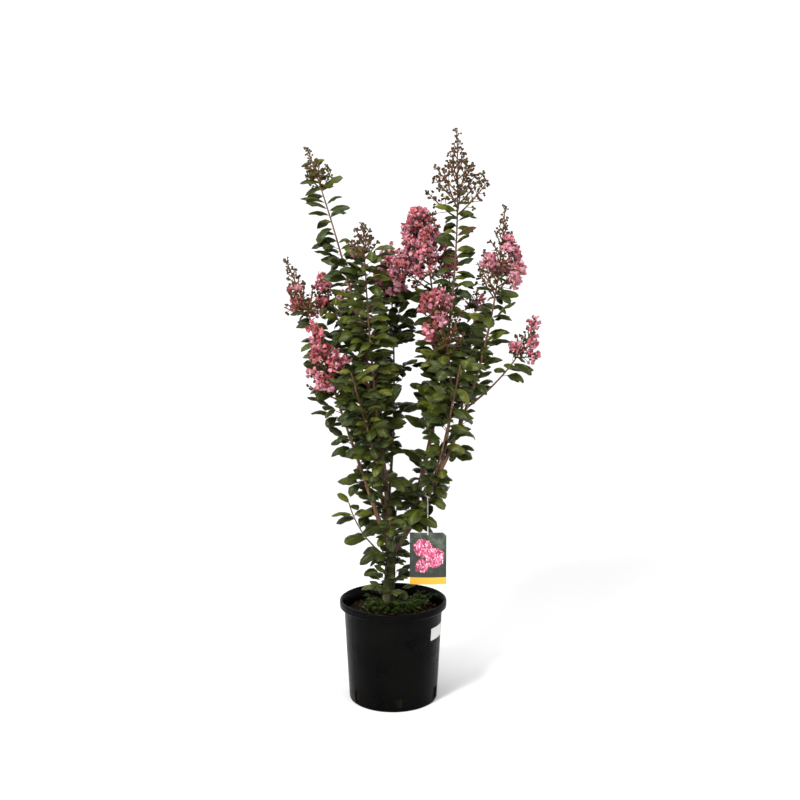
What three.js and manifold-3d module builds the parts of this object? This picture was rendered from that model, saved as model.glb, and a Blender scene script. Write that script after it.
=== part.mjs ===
// Crape myrtle with several stems in a round nursery pot.
// Millimetres, +Z up; the pot's flat underside lies on z = 0 and its centre is the origin.
import * as THREE from 'three';
import { mergeVertices } from 'three/addons/utils/BufferGeometryUtils.js';
import Module from 'manifold-3d';

const wasm = await Module();
wasm.setup();

// ---- Driving dimensions ----
const CLEARANCE = 0.3;           // between two pieces that meet

const POT_HEIGHT = 280;
const BODY_HEIGHT = 256;         // up to where the wall turns out into the lip
const POT_RIM_RADIUS = 150;
const POT_MOUTH_RADIUS = 137.8;  // body, just under the lip
const POT_FOOT_RADIUS = 123.5;
const POT_WALL = 3;
const POT_FLOOR = 4;
const POT_FACETS = 36;
const LIP_HEIGHT = 20;
const LIP_WIDTH = 6;
const EDGE_BEVEL = 2;            // on the lip's corners and the foot's
const SLOT_COUNT = 6;
const SLOT_WIDTH = 18;
const SLOT_BOTTOM = 9;
const SLOT_TOP = 40;
const SLOT_TURN = -82;           // degrees from +X to the first slot

const MIX_LEVEL = 245;           // flat middle of the potting mix
const MIX_EDGE_LEVEL = 239;
const MIX_FLAT_RADIUS = 70;

const STICKER_FACETS = [-4, 0];  // first and last of the pot's facets that it covers
const STICKER_BOTTOM = 187;
const STICKER_TOP = 221;
const STICKER_THICKNESS = 0.6;

const TRUNK_FOOT = [-12, 2];
const TRUNK_TOP = [-4, 0, 415];
const TRUNK_FLARE = [[0, 25], [0.06, 20], [0.16, 17.5], [0.6, 15.5], [1, 12]];

const CARD_LEFT = 46;
const CARD_RIGHT = 148;
const CARD_BOTTOM = 327;
const CARD_TOP = 474;
const CARD_FRONT = -27;
const CARD_THICKNESS = 1;
const CARD_BOW = 5;
const CARD_STEPS = 8;            // across its bow
const CARD_CLIPPED_CORNER = 14;
const STRAP_WIDTH = 3;
const STRAP_THICKNESS = 1.2;
const STRAP_AT = 0.195;          // along the right shoot

const TRUNK_SIDES = 12;
const BOUGH_SIDES = 6;
const STEM_SIDES = 4;
const HEAD_SIDES = 3;            // of the stem in a flower head, of its branches and of a twig
const STEM_TIP_RADIUS = 1.6;
const STEM_STEP = 75;            // between two rings of corners along a stem
const SPACE_STEP = 10;           // between the marks of a centre line
const SPACE_MARGIN = 1.5;        // kept free on each side of the border between two spaces
const MARKS_ALONG = [0.3, 0.55, 0.8, 1];     // of a twig or a branch, where its space is tested

const LEAF_LENGTH = 98;
const LEAF_LENGTHS = [0.8, 1.05];     // shortest and longest, of that length
const LEAF_WIDTH = 0.6;          // of its length
const LEAF_NEAR = 0.3;           // of its length, to its first pair of corners
const LEAF_FAR = 0.68;           // to its second pair
const LEAF_FOLD = 0.05;          // of its length, from its midrib down to its edges
const LEAF_ROLL = 40;            // degrees about its midrib, at most
const LEAF_HANG = [0.45, 1.95];  // drop for one unit along, least and most
const LEAF_SPREAD = 48;          // degrees between a leaf and the twig that bears it
const LEAF_STEP = 60;            // between two pairs along a stem
const STEM_PER_LEAF = 16;        // length of stem for each leaf that it gets
const LEAF_TRIES = 8;            // rounds of pairs before a crowded stem gets fewer leaves
const LEAF_SIZES = [1, 0.8, 0.62];    // tried in turn, until one fits
const LEAF_APART = 11.5;         // between the leaves of one stem
const LEAF_TURN = 0.9;           // radians, from the least to the most turn of a leaf about its stem
const END_LEAF_AT = 0.985;       // along a stem that has no flowers
const END_LEAF_SIZE = 0.8;

const TWIG_RISE = 52;            // degrees between a twig and the stem that bears it
const TWIG_GIRTH = 2.2;
const TWIG_SHARE = 0.45;         // of the radius of the stem that bears it, at most
const SHORTEST_TWIG = 14;
const TWIG_LENGTHS = [0.5, 1.3];      // shortest and longest, of what a stem's reach leaves for them
const TWIG_TAPER = [1.3, 0.6];   // of that length, where a stem's leaves begin and where they end
const RISE_CHANGE = [-0.1, 0.25];     // radians, least and most that is added to a rise
const LEAF_REACH = 0.7;          // of a leaf's length, how far it stands out past its twig
// Of each leaf on a twig: how far along it stands, and on which side.
const LONG_TWIG_RANKS = [[0.35, -1], [0.55, 1], [0.75, 0]];
const SHORT_TWIG_RANKS = [[0.45, 1], [0.75, 0]];

const BLOSSOM_RADIUS = 13;       // of a cluster on the narrowest head
const BLOSSOM_SHARE = 0.14;      // of the head's half width, added to it
const BUD_RADIUS = 8;
const PINK_FROM = 0.4;           // share of open flowers from which a head counts as pink
const RING_STEP = 40;            // between rings of branches up a head
const RING_TURN = 1.1;           // radians from one ring to the next
const BRANCHES_PER_RING = 3;
const BRANCH_LENGTHS = [0.75, 1.15];  // shortest and longest, of the head's half width
const BRANCH_CHANGE = [-0.1, 0.1];    // radians, least and most that is added to a branch's rise
const CLUSTER_DEPTH = 0.8;       // of a cluster's radius, from its shoulder to its end
const CLUSTER_SHRINK = 0.4;      // of a cluster's size, lost from the head's foot to its tip
const END_CLUSTER_AT = 0.99;
const END_CLUSTER_SIZE = 0.6;

// Each shoot is one curve from the stem that carries it to its own tip.
//   on, at: the carrier and the fraction of it where the shoot starts; tip, bow: millimetres, bow is how far
//   the curve's control point lies off the middle of the straight line; girth: radius at its foot;
//   leafy: where its bough ends and its leaves begin; reach: how far its leaves stand out;
//   flower: where its flower head begins, the head's half width, the share of its flowers that are open.
const SHOOTS = {
  tall_left: {
    on: 'trunk', at: 1, tip: [-225, -30, 1509], bow: [76, 2, 19],
    girth: 9, leafy: 0.1, reach: 74, flower: [0.9, 36, 0],
  },
  left_front: {
    on: 'trunk', at: 0.95, tip: [-207, -130, 1049], bow: [-8, 9, -1],
    girth: 8, leafy: 0.13, reach: 78, flower: [0.68, 62, 1],
  },
  right: {
    on: 'trunk', at: 0.92, tip: [299, -30, 1358], bow: [130, 2, -55],
    girth: 9, leafy: 0.22, reach: 78, flower: [0.76, 76, 0.5],
  },
  tall_right: {
    on: 'right', at: 0.07, tip: [173, 30, 1569], bow: [95, 1, -19],
    girth: 7.5, leafy: 0.1, reach: 76, flower: [0.79, 104, 0],
  },
  inner_left: {
    on: 'tall_left', at: 0.12, tip: [-77, -100, 1305], bow: [-18, 5, 0],
    girth: 6, leafy: 0.11, reach: 68, flower: [0.88, 42, 0.2],
  },
  centre: {
    on: 'tall_right', at: 0.26, tip: [70, 100, 1365], bow: [57, 13, -4],
    girth: 5.5, leafy: 0.12, reach: 66, flower: [0.6, 112, 1],
  },
  centre_front: {
    on: 'right', at: 0.26, tip: [103, -100, 1127], bow: [86, 21, 24],
    girth: 5, leafy: 0.18, reach: 64, flower: [0.66, 62, 1],
  },
  left_side: {
    on: 'left_front', at: 0.64, tip: [-297, 60, 1222], bow: [14, -18, 11],
    girth: 3.6, leafy: 0, reach: 60, flower: [0.6, 46, 0.25],
  },
  left_back: {
    on: 'tall_left', at: 0.5, tip: [-203, 120, 1179], bow: [-43, -56, 4],
    girth: 3.4, leafy: 0, reach: 56, flower: [0.56, 30, 1],
  },
  right_back: {
    on: 'right', at: 0.4, tip: [241, 120, 1148], bow: [2, -34, 12],
    girth: 3.6, leafy: 0, reach: 62, flower: [0.84, 24, 1],
  },
  right_side: {
    on: 'right', at: 0.46, tip: [385, -20, 1055], bow: [44, -8, -15],
    girth: 3.4, leafy: 0, reach: 50, flower: [0.62, 38, 1],
  },
  back_left: {
    on: 'trunk', at: 0.97, tip: [-130, 235, 1190], bow: [-10, 60, -40],
    girth: 7, leafy: 0.15, reach: 78, flower: [0.85, 45, 1],
  },
  back_right: {
    on: 'right', at: 0.1, tip: [180, 240, 1200], bow: [30, 70, -40],
    girth: 7, leafy: 0.15, reach: 78, flower: [0.85, 48, 0.6],
  },
  front_left: {
    on: 'tall_left', at: 0.15, tip: [-105, -205, 930], bow: [5, -30, -20],
    girth: 4.5, leafy: 0.15, reach: 70,
  },
  front_right: {
    on: 'right', at: 0.2, tip: [172, -195, 950], bow: [5, -30, -30],
    girth: 4.5, leafy: 0.15, reach: 70,
  },
  low_left: {
    on: 'trunk', at: 0.86, tip: [-122, -20, 556], bow: [-28, 0, -28],
    girth: 3, leafy: 0, reach: 48,
  },
  low_front: {
    on: 'left_front', at: 0.06, tip: [-8, -128, 528], bow: [4, -20, -8],
    girth: 3, leafy: 0, reach: 48,
  },
  low_right: {
    on: 'right', at: 0.16, tip: [158, 18, 596], bow: [10, 0, -16],
    girth: 3, leafy: 0, reach: 44,
  },
  low_back: {
    on: 'trunk', at: 0.9, tip: [14, 135, 556], bow: [0, 26, -18],
    girth: 3, leafy: 0, reach: 50,
  },
  centre_back: {
    on: 'back_left', at: 0.1, tip: [-16, 130, 1262], bow: [40, -8, 0],
    girth: 5, leafy: 0.38, reach: 72, flower: [0.8, 44, 1],
  },
};

// Short shoots that come up through the mix beside the trunk: where each stands, and where its tip is.
const BASAL_SHOOTS = {
  basal_shoot_left: { foot: [-42, -22], tip: [-62, -34, 286] },
  basal_shoot_middle: { foot: [24, -34], tip: [30, -52, 290] },
  basal_shoot_right: { foot: [52, 8], tip: [78, 6, 292] },
};
const LEAF_SEED = 2;
const LEAF_SEED_STEP = 7;
const FLOWER_SEED = 2;
const FLOWER_SEED_STEP = 3;

const BASAL_GIRTH = 2.2;
const BASAL_LEAF_LENGTH = 36;
const BASAL_LEAVES = 5;
const BASAL_LEAF_TURN = 2.4;     // radians from one leaf to the next

// ---- Materials ----
const material = (name, color, roughness, metalness = 0) =>
  new THREE.MeshStandardMaterial({ name, color, roughness, metalness });
const POT_PLASTIC = material('pot_plastic', 0x17181a, 0.42);
const POTTING_MIX = material('potting_mix', 0x3a2a22, 0.95);
const BARK = material('bark', 0x6f6a52, 0.85);
const STEM_SKIN = material('stem_skin', 0x6b3f33, 0.7);
const FOLIAGE = material('foliage', 0x35482a, 0.45);
const PINK_BLOSSOM = material('pink_blossom', 0xd8608c, 0.7);
const FLOWER_BUDS = material('flower_buds', 0x6d4a3c, 0.7);
const CARD_PRINT = material('card_print', 0x8a8f86, 0.3);
const STRAP_PLASTIC = material('strap_plastic', 0xd9d7cf, 0.5);
const WHITE_LABEL = material('white_label', 0xf2f2f0, 0.6);

// ---- Solids ----
function solidFrom(geometry) {
  const bare = new THREE.BufferGeometry();
  bare.setAttribute('position', geometry.getAttribute('position'));
  bare.setIndex(geometry.getIndex());
  const merged = mergeVertices(bare);
  const vertProperties = new Float32Array(merged.getAttribute('position').array);
  const triVerts = new Uint32Array(merged.getIndex().array);
  return new wasm.Manifold(new wasm.Mesh({ numProp: 3, vertProperties, triVerts }));
}

function joined(solids) {
  return solids.reduce((sum, solid) => sum.add(solid));
}

// The largest piece of a solid: scraps and sealed hollows are dropped.
function largestPiece(solid) {
  const pieces = solid.decompose();
  return pieces.reduce((best, piece) => (piece.volume() > best.volume() ? piece : best));
}

function meshOf(solid, name, finish) {
  const { vertProperties, triVerts } = solid.getMesh();
  const geometry = new THREE.BufferGeometry();
  geometry.setAttribute('position', new THREE.BufferAttribute(new Float32Array(vertProperties), 3));
  geometry.setIndex(new THREE.BufferAttribute(new Uint32Array(triVerts), 1));
  const mesh = new THREE.Mesh(geometry, finish);
  mesh.name = name;
  return mesh;
}

// A solid of revolution about Z from [radius, height] pairs that start and end on the axis.
function turned(profile, facets) {
  const points = profile.map(([radius, height]) => new THREE.Vector2(radius, height));
  return solidFrom(new THREE.LatheGeometry(points, facets).rotateX(Math.PI / 2));
}

// A cylinder bent along a curve, with its radius set by a function of the fraction along it.
function limbSolid(curve, radiusAt, sides, steps, pointed = false) {
  const geometry = new THREE.CylinderGeometry(pointed ? 0 : 1, 1, 1, sides, steps);
  const { normals, binormals } = curve.computeFrenetFrames(steps);
  const place = geometry.getAttribute('position');
  for (let i = 0; i < place.count; i += 1) {
    const step = Math.round((place.getY(i) + 0.5) * steps);
    const off = new THREE.Vector2(place.getX(i), place.getZ(i)).setLength(radiusAt(step / steps));
    const point = curve.getPointAt(step / steps);
    point.addScaledVector(binormals[step], off.x).addScaledVector(normals[step], off.y);
    place.setXYZ(i, point.x, point.y, point.z);
  }
  return solidFrom(geometry);
}

// The stretch of a curve between two fractions of its length.
class Stretch extends THREE.Curve {
  constructor(whole, from, to) {
    super();
    this.whole = whole;
    this.from = from;
    this.to = to;
  }

  getPoint(t, target = new THREE.Vector3()) {
    return this.whole.getPointAt(this.from + (this.to - this.from) * t, target);
  }
}

function bowedCurve(foot, tip, bow) {
  const knee = foot.clone().add(tip).multiplyScalar(0.5).add(bow);
  return new THREE.QuadraticBezierCurve3(foot, knee, tip);
}

// ---- Pot and what is in and on it ----
function potRadiusAt(height) {
  return POT_FOOT_RADIUS + (POT_MOUTH_RADIUS - POT_FOOT_RADIUS) * height / BODY_HEIGHT;
}

function potSolid() {
  const lipBottom = POT_HEIGHT - LIP_HEIGHT;
  const body = turned([
    [0, 0],
    [POT_FOOT_RADIUS - EDGE_BEVEL, 0],
    [potRadiusAt(EDGE_BEVEL), EDGE_BEVEL],
    [POT_MOUTH_RADIUS, BODY_HEIGHT],
    [POT_RIM_RADIUS, lipBottom + EDGE_BEVEL],
    [POT_RIM_RADIUS, POT_HEIGHT - EDGE_BEVEL],
    [POT_RIM_RADIUS - EDGE_BEVEL, POT_HEIGHT],
    [POT_RIM_RADIUS - LIP_WIDTH, POT_HEIGHT],
    [POT_RIM_RADIUS - LIP_WIDTH - EDGE_BEVEL, POT_HEIGHT - EDGE_BEVEL],
    [POT_MOUTH_RADIUS - POT_WALL, lipBottom - EDGE_BEVEL],
    [potRadiusAt(POT_FLOOR) - POT_WALL, POT_FLOOR],
    [0, POT_FLOOR],
  ], POT_FACETS);
  return body.subtract(joined(drainSlots()));
}

function drainSlots() {
  return Array.from({ length: SLOT_COUNT }, (_, k) => {
    const slot = new THREE.BoxGeometry(4 * POT_WALL, SLOT_WIDTH, SLOT_TOP - SLOT_BOTTOM);
    slot.translate(potRadiusAt(SLOT_BOTTOM) - POT_WALL / 2, 0, (SLOT_TOP + SLOT_BOTTOM) / 2);
    slot.rotateZ(radians(SLOT_TURN + k * 360 / SLOT_COUNT));
    return solidFrom(slot);
  });
}

function mixSolid() {
  const inset = POT_WALL + CLEARANCE;
  const bottom = POT_FLOOR + CLEARANCE;
  return turned([
    [0, bottom],
    [potRadiusAt(bottom) - inset, bottom],
    [potRadiusAt(MIX_EDGE_LEVEL) - inset, MIX_EDGE_LEVEL],
    [MIX_FLAT_RADIUS, MIX_LEVEL],
    [0, MIX_LEVEL],
  ], POT_FACETS);
}

// A plate bent round the pot's wall, facet for facet.
function stickerSolid() {
  const [first, last] = STICKER_FACETS;
  const turns = Array.from({ length: last - first + 1 }, (_, k) => (first + k) / POT_FACETS);
  const corners = turns.map((turn) => turn * 2 * Math.PI);
  const onCircle = (radius, angle) => new THREE.Vector2(radius * Math.cos(angle), radius * Math.sin(angle));
  const inner = corners.map((angle) => onCircle(1, angle));
  const outer = corners.map((angle) => onCircle(1 + STICKER_THICKNESS / POT_FOOT_RADIUS, angle)).reverse();
  const outline = new THREE.Shape([...inner, ...outer]);
  const height = STICKER_TOP - STICKER_BOTTOM;
  const plate = new THREE.ExtrudeGeometry(outline, { depth: height, bevelEnabled: false });
  plate.translate(0, 0, STICKER_BOTTOM);
  const place = plate.getAttribute('position');
  for (let i = 0; i < place.count; i += 1) {
    const radius = potRadiusAt(place.getZ(i)) + CLEARANCE;
    place.setXY(i, place.getX(i) * radius, place.getY(i) * radius);
  }
  return solidFrom(plate);
}

// ---- Stems ----
const vector = (numbers) => new THREE.Vector3(...numbers);
const radians = THREE.MathUtils.degToRad;

// A value read off [fraction, value] pairs along straight lines.
function readOff(pairs, fraction) {
  const next = pairs.findIndex(([at]) => at >= fraction);
  if (next <= 0) {
    return pairs[0][1];
  }
  const [[at0, value0], [at1, value1]] = [pairs[next - 1], pairs[next]];
  return value0 + (value1 - value0) * (fraction - at0) / (at1 - at0);
}

function trunkStem() {
  const foot = vector([...TRUNK_FOOT, MIX_LEVEL + CLEARANCE]);
  const top = vector(TRUNK_TOP);
  const knee = new THREE.Vector3(foot.x, foot.y, (foot.z + top.z) / 2);
  const curve = new THREE.QuadraticBezierCurve3(foot, knee, top);
  return { curve, radiusAt: (u) => readOff(TRUNK_FLARE, u) };
}

function shootStem(shoot, stems) {
  const foot = stems[shoot.on].curve.getPointAt(shoot.at);
  const curve = bowedCurve(foot, vector(shoot.tip), vector(shoot.bow));
  const radiusAt = (u) => STEM_TIP_RADIUS + (shoot.girth - STEM_TIP_RADIUS) * (1 - u) ** 1.5;
  return { curve, radiusAt };
}

// One stretch of a stem, made thicker all round by a skin where it is used as a cutter.
function stemSolid({ curve, radiusAt }, from, to, sides, skin = 0) {
  const stretch = new Stretch(curve, from, to);
  const steps = Math.max(2, Math.round(curve.getLength() * (to - from) / STEM_STEP));
  return limbSolid(stretch, (t) => radiusAt(from + (to - from) * t) + skin, sides, steps);
}

// ---- Spaces: a point belongs to the stem whose centre line is nearest ----
function centreLine(name, { curve, radiusAt }) {
  const count = Math.ceil(curve.getLength() / SPACE_STEP);
  return Array.from({ length: count + 1 }, (_, k) => {
    const at = k / count;
    return { name, at, point: curve.getPointAt(at), radius: radiusAt(at) };
  });
}

// Whether all the points lie in the named stem's space between two fractions of it, and off the other stems.
function inSpace(points, name, from, to, lines) {
  return points.every((point) => {
    let own = null;
    let ownDistance = Infinity;
    let otherDistance = Infinity;
    let free = true;
    for (const mark of lines) {
      const distance = mark.point.distanceTo(point);
      if (mark.name === name && distance < ownDistance) {
        own = mark;
        ownDistance = distance;
      } else if (mark.name !== name) {
        otherDistance = Math.min(otherDistance, distance);
        free = free && distance > mark.radius + 2 * SPACE_MARGIN;
      }
    }
    const between = own.at >= from && own.at <= to;
    return free && between && ownDistance + SPACE_MARGIN < otherDistance - SPACE_MARGIN;
  });
}

// Whether a part of the named stem comes nearer than the clearance to another stem.
function touches(solid, name, limbs) {
  return Object.entries(limbs).some(([other, limb]) => other !== name && !solid.intersect(limb).isEmpty());
}

// ---- Leaves, twigs and flowers ----
// Numbers from 0 to 1 in an order that the seed fixes.
function seeded(seed) {
  let state = seed;
  return () => {
    state = (state * 1664525 + 1013904223) % 4294967296;
    return state / 4294967296;
  };
}

// An octahedron drawn out into a blade with six corners, folded down on both sides of its midrib. Opposite
// corners of the octahedron are the ones that no edge of the blade joins.
function leafPoints(foot, along, length, roll) {
  const side = new THREE.Vector3().crossVectors(along, new THREE.Vector3(0, 0, 1)).normalize();
  side.applyAxisAngle(along, roll);
  const up = new THREE.Vector3().crossVectors(side, along);
  const at = (a, s, u) => foot.clone().addScaledVector(along, a * length).addScaledVector(side, s * length)
    .addScaledVector(up, u * length);
  const half = LEAF_WIDTH / 2;
  return {
    root: at(0, 0, 0),
    tip: at(1, 0, 0),
    nearLeft: at(LEAF_NEAR, -half, -LEAF_FOLD),
    nearRight: at(LEAF_NEAR, half, -LEAF_FOLD),
    farLeft: at(LEAF_FAR, -half, -LEAF_FOLD),
    farRight: at(LEAF_FAR, half, -LEAF_FOLD),
  };
}

function leafSolid({ root, tip, nearLeft, nearRight, farLeft, farRight }) {
  const geometry = new THREE.OctahedronGeometry(1, 0);
  const place = geometry.getAttribute('position');
  const ends = [[root, farRight], [nearLeft, tip], [farLeft, nearRight]];
  for (let i = 0; i < place.count; i += 1) {
    const axis = [0, 1, 2].find((k) => Math.abs(place.getComponent(i, k)) > 0.5);
    const point = ends[axis][place.getComponent(i, axis) > 0 ? 1 : 0];
    place.setXYZ(i, point.x, point.y, point.z);
  }
  return solidFrom(geometry);
}

// Points spread over a leaf, for the test of its space.
function leafMarks({ root, tip, nearLeft, nearRight, farLeft, farRight }) {
  const between = (a, b, t = 0.5) => a.clone().lerp(b, t);
  const corners = [tip, nearLeft, nearRight, farLeft, farRight];
  const midrib = [between(root, tip, LEAF_NEAR), between(root, tip, LEAF_FAR)];
  const edges = [[root, nearLeft], [root, nearRight], [farLeft, tip], [farRight, tip]];
  return [...corners, ...midrib, ...edges.map(([a, b]) => between(a, b))];
}

// A value between the least and the most of a pair.
const within = ([least, most], chance) => least + (most - least) * chance();

// The direction that stands off a stem by the given rise, at the given turn about it.
function offStem(tangent, turn, rise) {
  const east = new THREE.Vector3(1, 0, 0);
  const across = east.addScaledVector(tangent, -tangent.dot(east)).normalize();
  const third = new THREE.Vector3().crossVectors(tangent, across);
  const outward = across.multiplyScalar(Math.cos(turn)).addScaledVector(third, Math.sin(turn));
  return outward.multiplyScalar(Math.sin(rise)).addScaledVector(tangent, Math.cos(rise));
}

function twigLine(foot, direction, length) {
  return new THREE.LineCurve3(foot, foot.clone().addScaledVector(direction, length));
}

function twigSolid(curve, radius) {
  return limbSolid(curve, (t) => radius * (1 - t), HEAD_SIDES, 1, true);
}

function curveMarks(curve) {
  return MARKS_ALONG.map((t) => curve.getPointAt(t));
}

// A leaf in each of its sizes: its length, roll and hang are drawn in that order.
function drawnLeaf(foot, along, chance, size = 1) {
  const length = LEAF_LENGTH * within(LEAF_LENGTHS, chance) * size;
  const roll = radians(within([-LEAF_ROLL, LEAF_ROLL], chance));
  const hang = new THREE.Vector3(along.x, along.y, along.z - within(LEAF_HANG, chance)).normalize();
  return LEAF_SIZES.map((scale) => leafPoints(foot, hang, length * scale, roll));
}

// Leaves in two ranks along a twig, and one at its end.
function twigLeaves(curve, length, chance) {
  const ranks = length > 2 * SHORTEST_TWIG ? LONG_TWIG_RANKS : SHORT_TWIG_RANKS;
  return ranks.map(([at, rank]) => {
    const spread = rank * radians(LEAF_SPREAD);
    const along = curve.getTangentAt(at).applyAxisAngle(new THREE.Vector3(0, 0, 1), spread);
    return drawnLeaf(curve.getPointAt(at), along, chance);
  });
}

// Crossed pairs up a stem, in rounds until it has its leaves: where the reach allows, each is a twig with
// leaves, and elsewhere a leaf. Parts that would leave the stem's space or touch another stem are left out.
function leafyParts(name, stem, from, to, reach, seed, { lines, limbs }) {
  const chance = seeded(seed);
  const length = stem.curve.getLength() * (to - from);
  const pairs = Math.max(2, Math.round(length / LEAF_STEP));
  const parts = [];
  const placed = [];
  let leavesLeft = Math.round(length / STEM_PER_LEAF);
  const fits = (marks) => inSpace(marks, name, from, to, lines);
  const alone = (mark) => placed.every((other) => mark.distanceTo(other) > LEAF_APART);
  const leafFits = (points) => leafMarks(points).every(alone) && fits(leafMarks(points));
  const addLeaf = (sizes) => {
    const leaf = sizes.find((points) => leafFits(points) && !touches(leafSolid(points), name, limbs));
    if (leaf) {
      parts.push(leafSolid(leaf));
      placed.push(...leafMarks(leaf));
      leavesLeft -= 1;
    }
  };
  for (let k = 0; k < 2 * pairs * LEAF_TRIES && leavesLeft > 0; k += 1) {
    const pair = Math.floor(k / 2);
    const along = (pair + 0.3 * (1 + k % 2)) / (pairs + 0.4) % 1;
    const at = from + (to - from) * along;
    const foot = stem.curve.getPointAt(at);
    const turn = (pair / 2 + k % 2) * Math.PI + LEAF_TURN * (chance() - 0.5) + seed;
    const rise = radians(TWIG_RISE) + within(RISE_CHANGE, chance);
    const direction = offStem(stem.curve.getTangentAt(at), turn, rise);
    const taper = TWIG_TAPER[0] + (TWIG_TAPER[1] - TWIG_TAPER[0]) * along;
    const twigLength = (reach - LEAF_REACH * LEAF_LENGTH) * taper * within(TWIG_LENGTHS, chance);
    if (twigLength < SHORTEST_TWIG) {
      addLeaf(drawnLeaf(foot, direction, chance));
    } else {
      const line = twigLine(foot, direction, twigLength);
      const leaves = twigLeaves(line, twigLength, chance);
      const twig = twigSolid(line, Math.min(TWIG_GIRTH, TWIG_SHARE * stem.radiusAt(at)));
      const bearsLeaf = leaves.some((sizes) => leafFits(sizes.at(-1)));
      if (bearsLeaf && fits(curveMarks(line)) && !touches(twig, name, limbs)) {
        parts.push(twig);
        leaves.forEach(addLeaf);
      }
    }
  }
  if (to === 1) {
    const foot = stem.curve.getPointAt(END_LEAF_AT);
    addLeaf(drawnLeaf(foot, stem.curve.getTangentAt(1), chance, END_LEAF_SIZE));
  }
  return parts;
}

// A flower branch and the cluster on its end, turned in one: it widens up to the cluster's shoulder.
function flowerBranch(foot, direction, length, girth, radius) {
  const profile = [[0, 0], [girth, 0], [radius, length], [0, length + CLUSTER_DEPTH * radius]];
  const points = profile.map(([across, along]) => new THREE.Vector2(across, along));
  const geometry = new THREE.LatheGeometry(points, HEAD_SIDES);
  const lean = new THREE.Quaternion().setFromUnitVectors(new THREE.Vector3(0, 1, 0), direction);
  geometry.applyQuaternion(lean);
  return solidFrom(geometry.translate(foot.x, foot.y, foot.z));
}

function flowerMarks(foot, direction, length, radius) {
  const whole = length + CLUSTER_DEPTH * radius;
  const line = MARKS_ALONG.map((t) => foot.clone().addScaledVector(direction, t * whole));
  const centre = foot.clone().addScaledVector(direction, length);
  const across = [[1, 0, 0], [-1, 0, 0], [0, 1, 0], [0, -1, 0], [0, 0, 1], [0, 0, -1]];
  return [...line, ...across.map((way) => centre.clone().addScaledVector(vector(way), radius))];
}

// Rings of branches up a flower head, shorter towards its tip, each with a cluster of blossoms or buds.
function flowerParts(name, stem, from, [, width, share], seed, { lines, limbs }) {
  const chance = seeded(seed);
  const rings = Math.max(2, Math.round(stem.curve.getLength() * (1 - from) / RING_STEP));
  const parts = [];
  const addFlower = (at, direction, length, size) => {
    const radius = size * (chance() < share ? BLOSSOM_RADIUS + BLOSSOM_SHARE * width : BUD_RADIUS);
    const foot = stem.curve.getPointAt(at);
    const reach = Math.max(length - radius, CLUSTER_DEPTH * radius);
    const branch = flowerBranch(foot, direction, reach, TWIG_SHARE * stem.radiusAt(at), radius);
    const marks = flowerMarks(foot, direction, reach, radius);
    if (inSpace(marks, name, from, 1, lines) && !touches(branch, name, limbs)) {
      parts.push(branch);
    }
  };
  for (let k = 0; k < BRANCHES_PER_RING * rings; k += 1) {
    const ring = Math.floor(k / BRANCHES_PER_RING);
    const place = (k % BRANCHES_PER_RING) / BRANCHES_PER_RING;
    const along = (ring + 0.2 + 0.75 * place) / rings;
    const at = from + (1 - from) * along;
    const turn = 2 * Math.PI * place + ring * RING_TURN + 0.5 * (chance() - 0.5) + seed;
    const rise = radians(TWIG_RISE) + within(BRANCH_CHANGE, chance);
    const length = width * Math.sqrt(1 - along) * within(BRANCH_LENGTHS, chance);
    addFlower(at, offStem(stem.curve.getTangentAt(at), turn, rise), length, 1 - CLUSTER_SHRINK * along);
  }
  addFlower(END_CLUSTER_AT, stem.curve.getTangentAt(1), 2 * BUD_RADIUS, END_CLUSTER_SIZE);
  return parts;
}

// ---- Tag ----
// The card is a strip of an arc in plan, raised to its height, with one top corner clipped.
function cardSolid() {
  const halfWidth = (CARD_RIGHT - CARD_LEFT) / 2;
  const radius = (halfWidth ** 2 + CARD_BOW ** 2) / (2 * CARD_BOW);
  const half = Math.asin(halfWidth / radius);
  const outline = new THREE.Shape();
  outline.absarc(0, radius, radius, -Math.PI / 2 - half, -Math.PI / 2 + half, false);
  outline.absarc(0, radius, radius - CARD_THICKNESS, -Math.PI / 2 + half, -Math.PI / 2 - half, true);
  const height = CARD_TOP - CARD_BOTTOM;
  const options = { depth: height, bevelEnabled: false, curveSegments: CARD_STEPS };
  const plate = new THREE.ExtrudeGeometry(outline, options);
  plate.translate((CARD_LEFT + CARD_RIGHT) / 2, CARD_FRONT, CARD_BOTTOM);
  const clip = new THREE.BoxGeometry(CARD_CLIPPED_CORNER, 60, CARD_CLIPPED_CORNER);
  clip.rotateY(Math.PI / 4).translate(CARD_RIGHT, CARD_FRONT, CARD_TOP);
  return solidFrom(plate).subtract(solidFrom(clip));
}

// A loop round the stem that carries the card, and the straight strap down to it.
function strapSolid(stem) {
  const centre = stem.curve.getPointAt(STRAP_AT);
  const loopRadius = stem.radiusAt(STRAP_AT) + CLEARANCE + STRAP_THICKNESS;
  const loop = new THREE.TorusGeometry(loopRadius, STRAP_THICKNESS, 4, 12);
  const along = stem.curve.getTangentAt(STRAP_AT);
  const turn = new THREE.Quaternion().setFromUnitVectors(new THREE.Vector3(0, 0, 1), along);
  loop.applyQuaternion(turn).translate(centre.x, centre.y, centre.z);
  const bottom = CARD_TOP + CLEARANCE;
  const front = centre.y - loopRadius;
  const lean = CARD_FRONT + CARD_THICKNESS / 2 - front;
  const strap = new THREE.BoxGeometry(STRAP_WIDTH, STRAP_THICKNESS, centre.z - bottom);
  strap.translate(0, 0, (bottom - centre.z) / 2);
  const place = strap.getAttribute('position');
  for (let i = 0; i < place.count; i += 1) {
    const down = place.getZ(i) / (bottom - centre.z);
    place.setY(i, place.getY(i) + lean * down);
  }
  return solidFrom(loop).add(solidFrom(strap.translate(centre.x, front, centre.z)));
}

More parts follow.
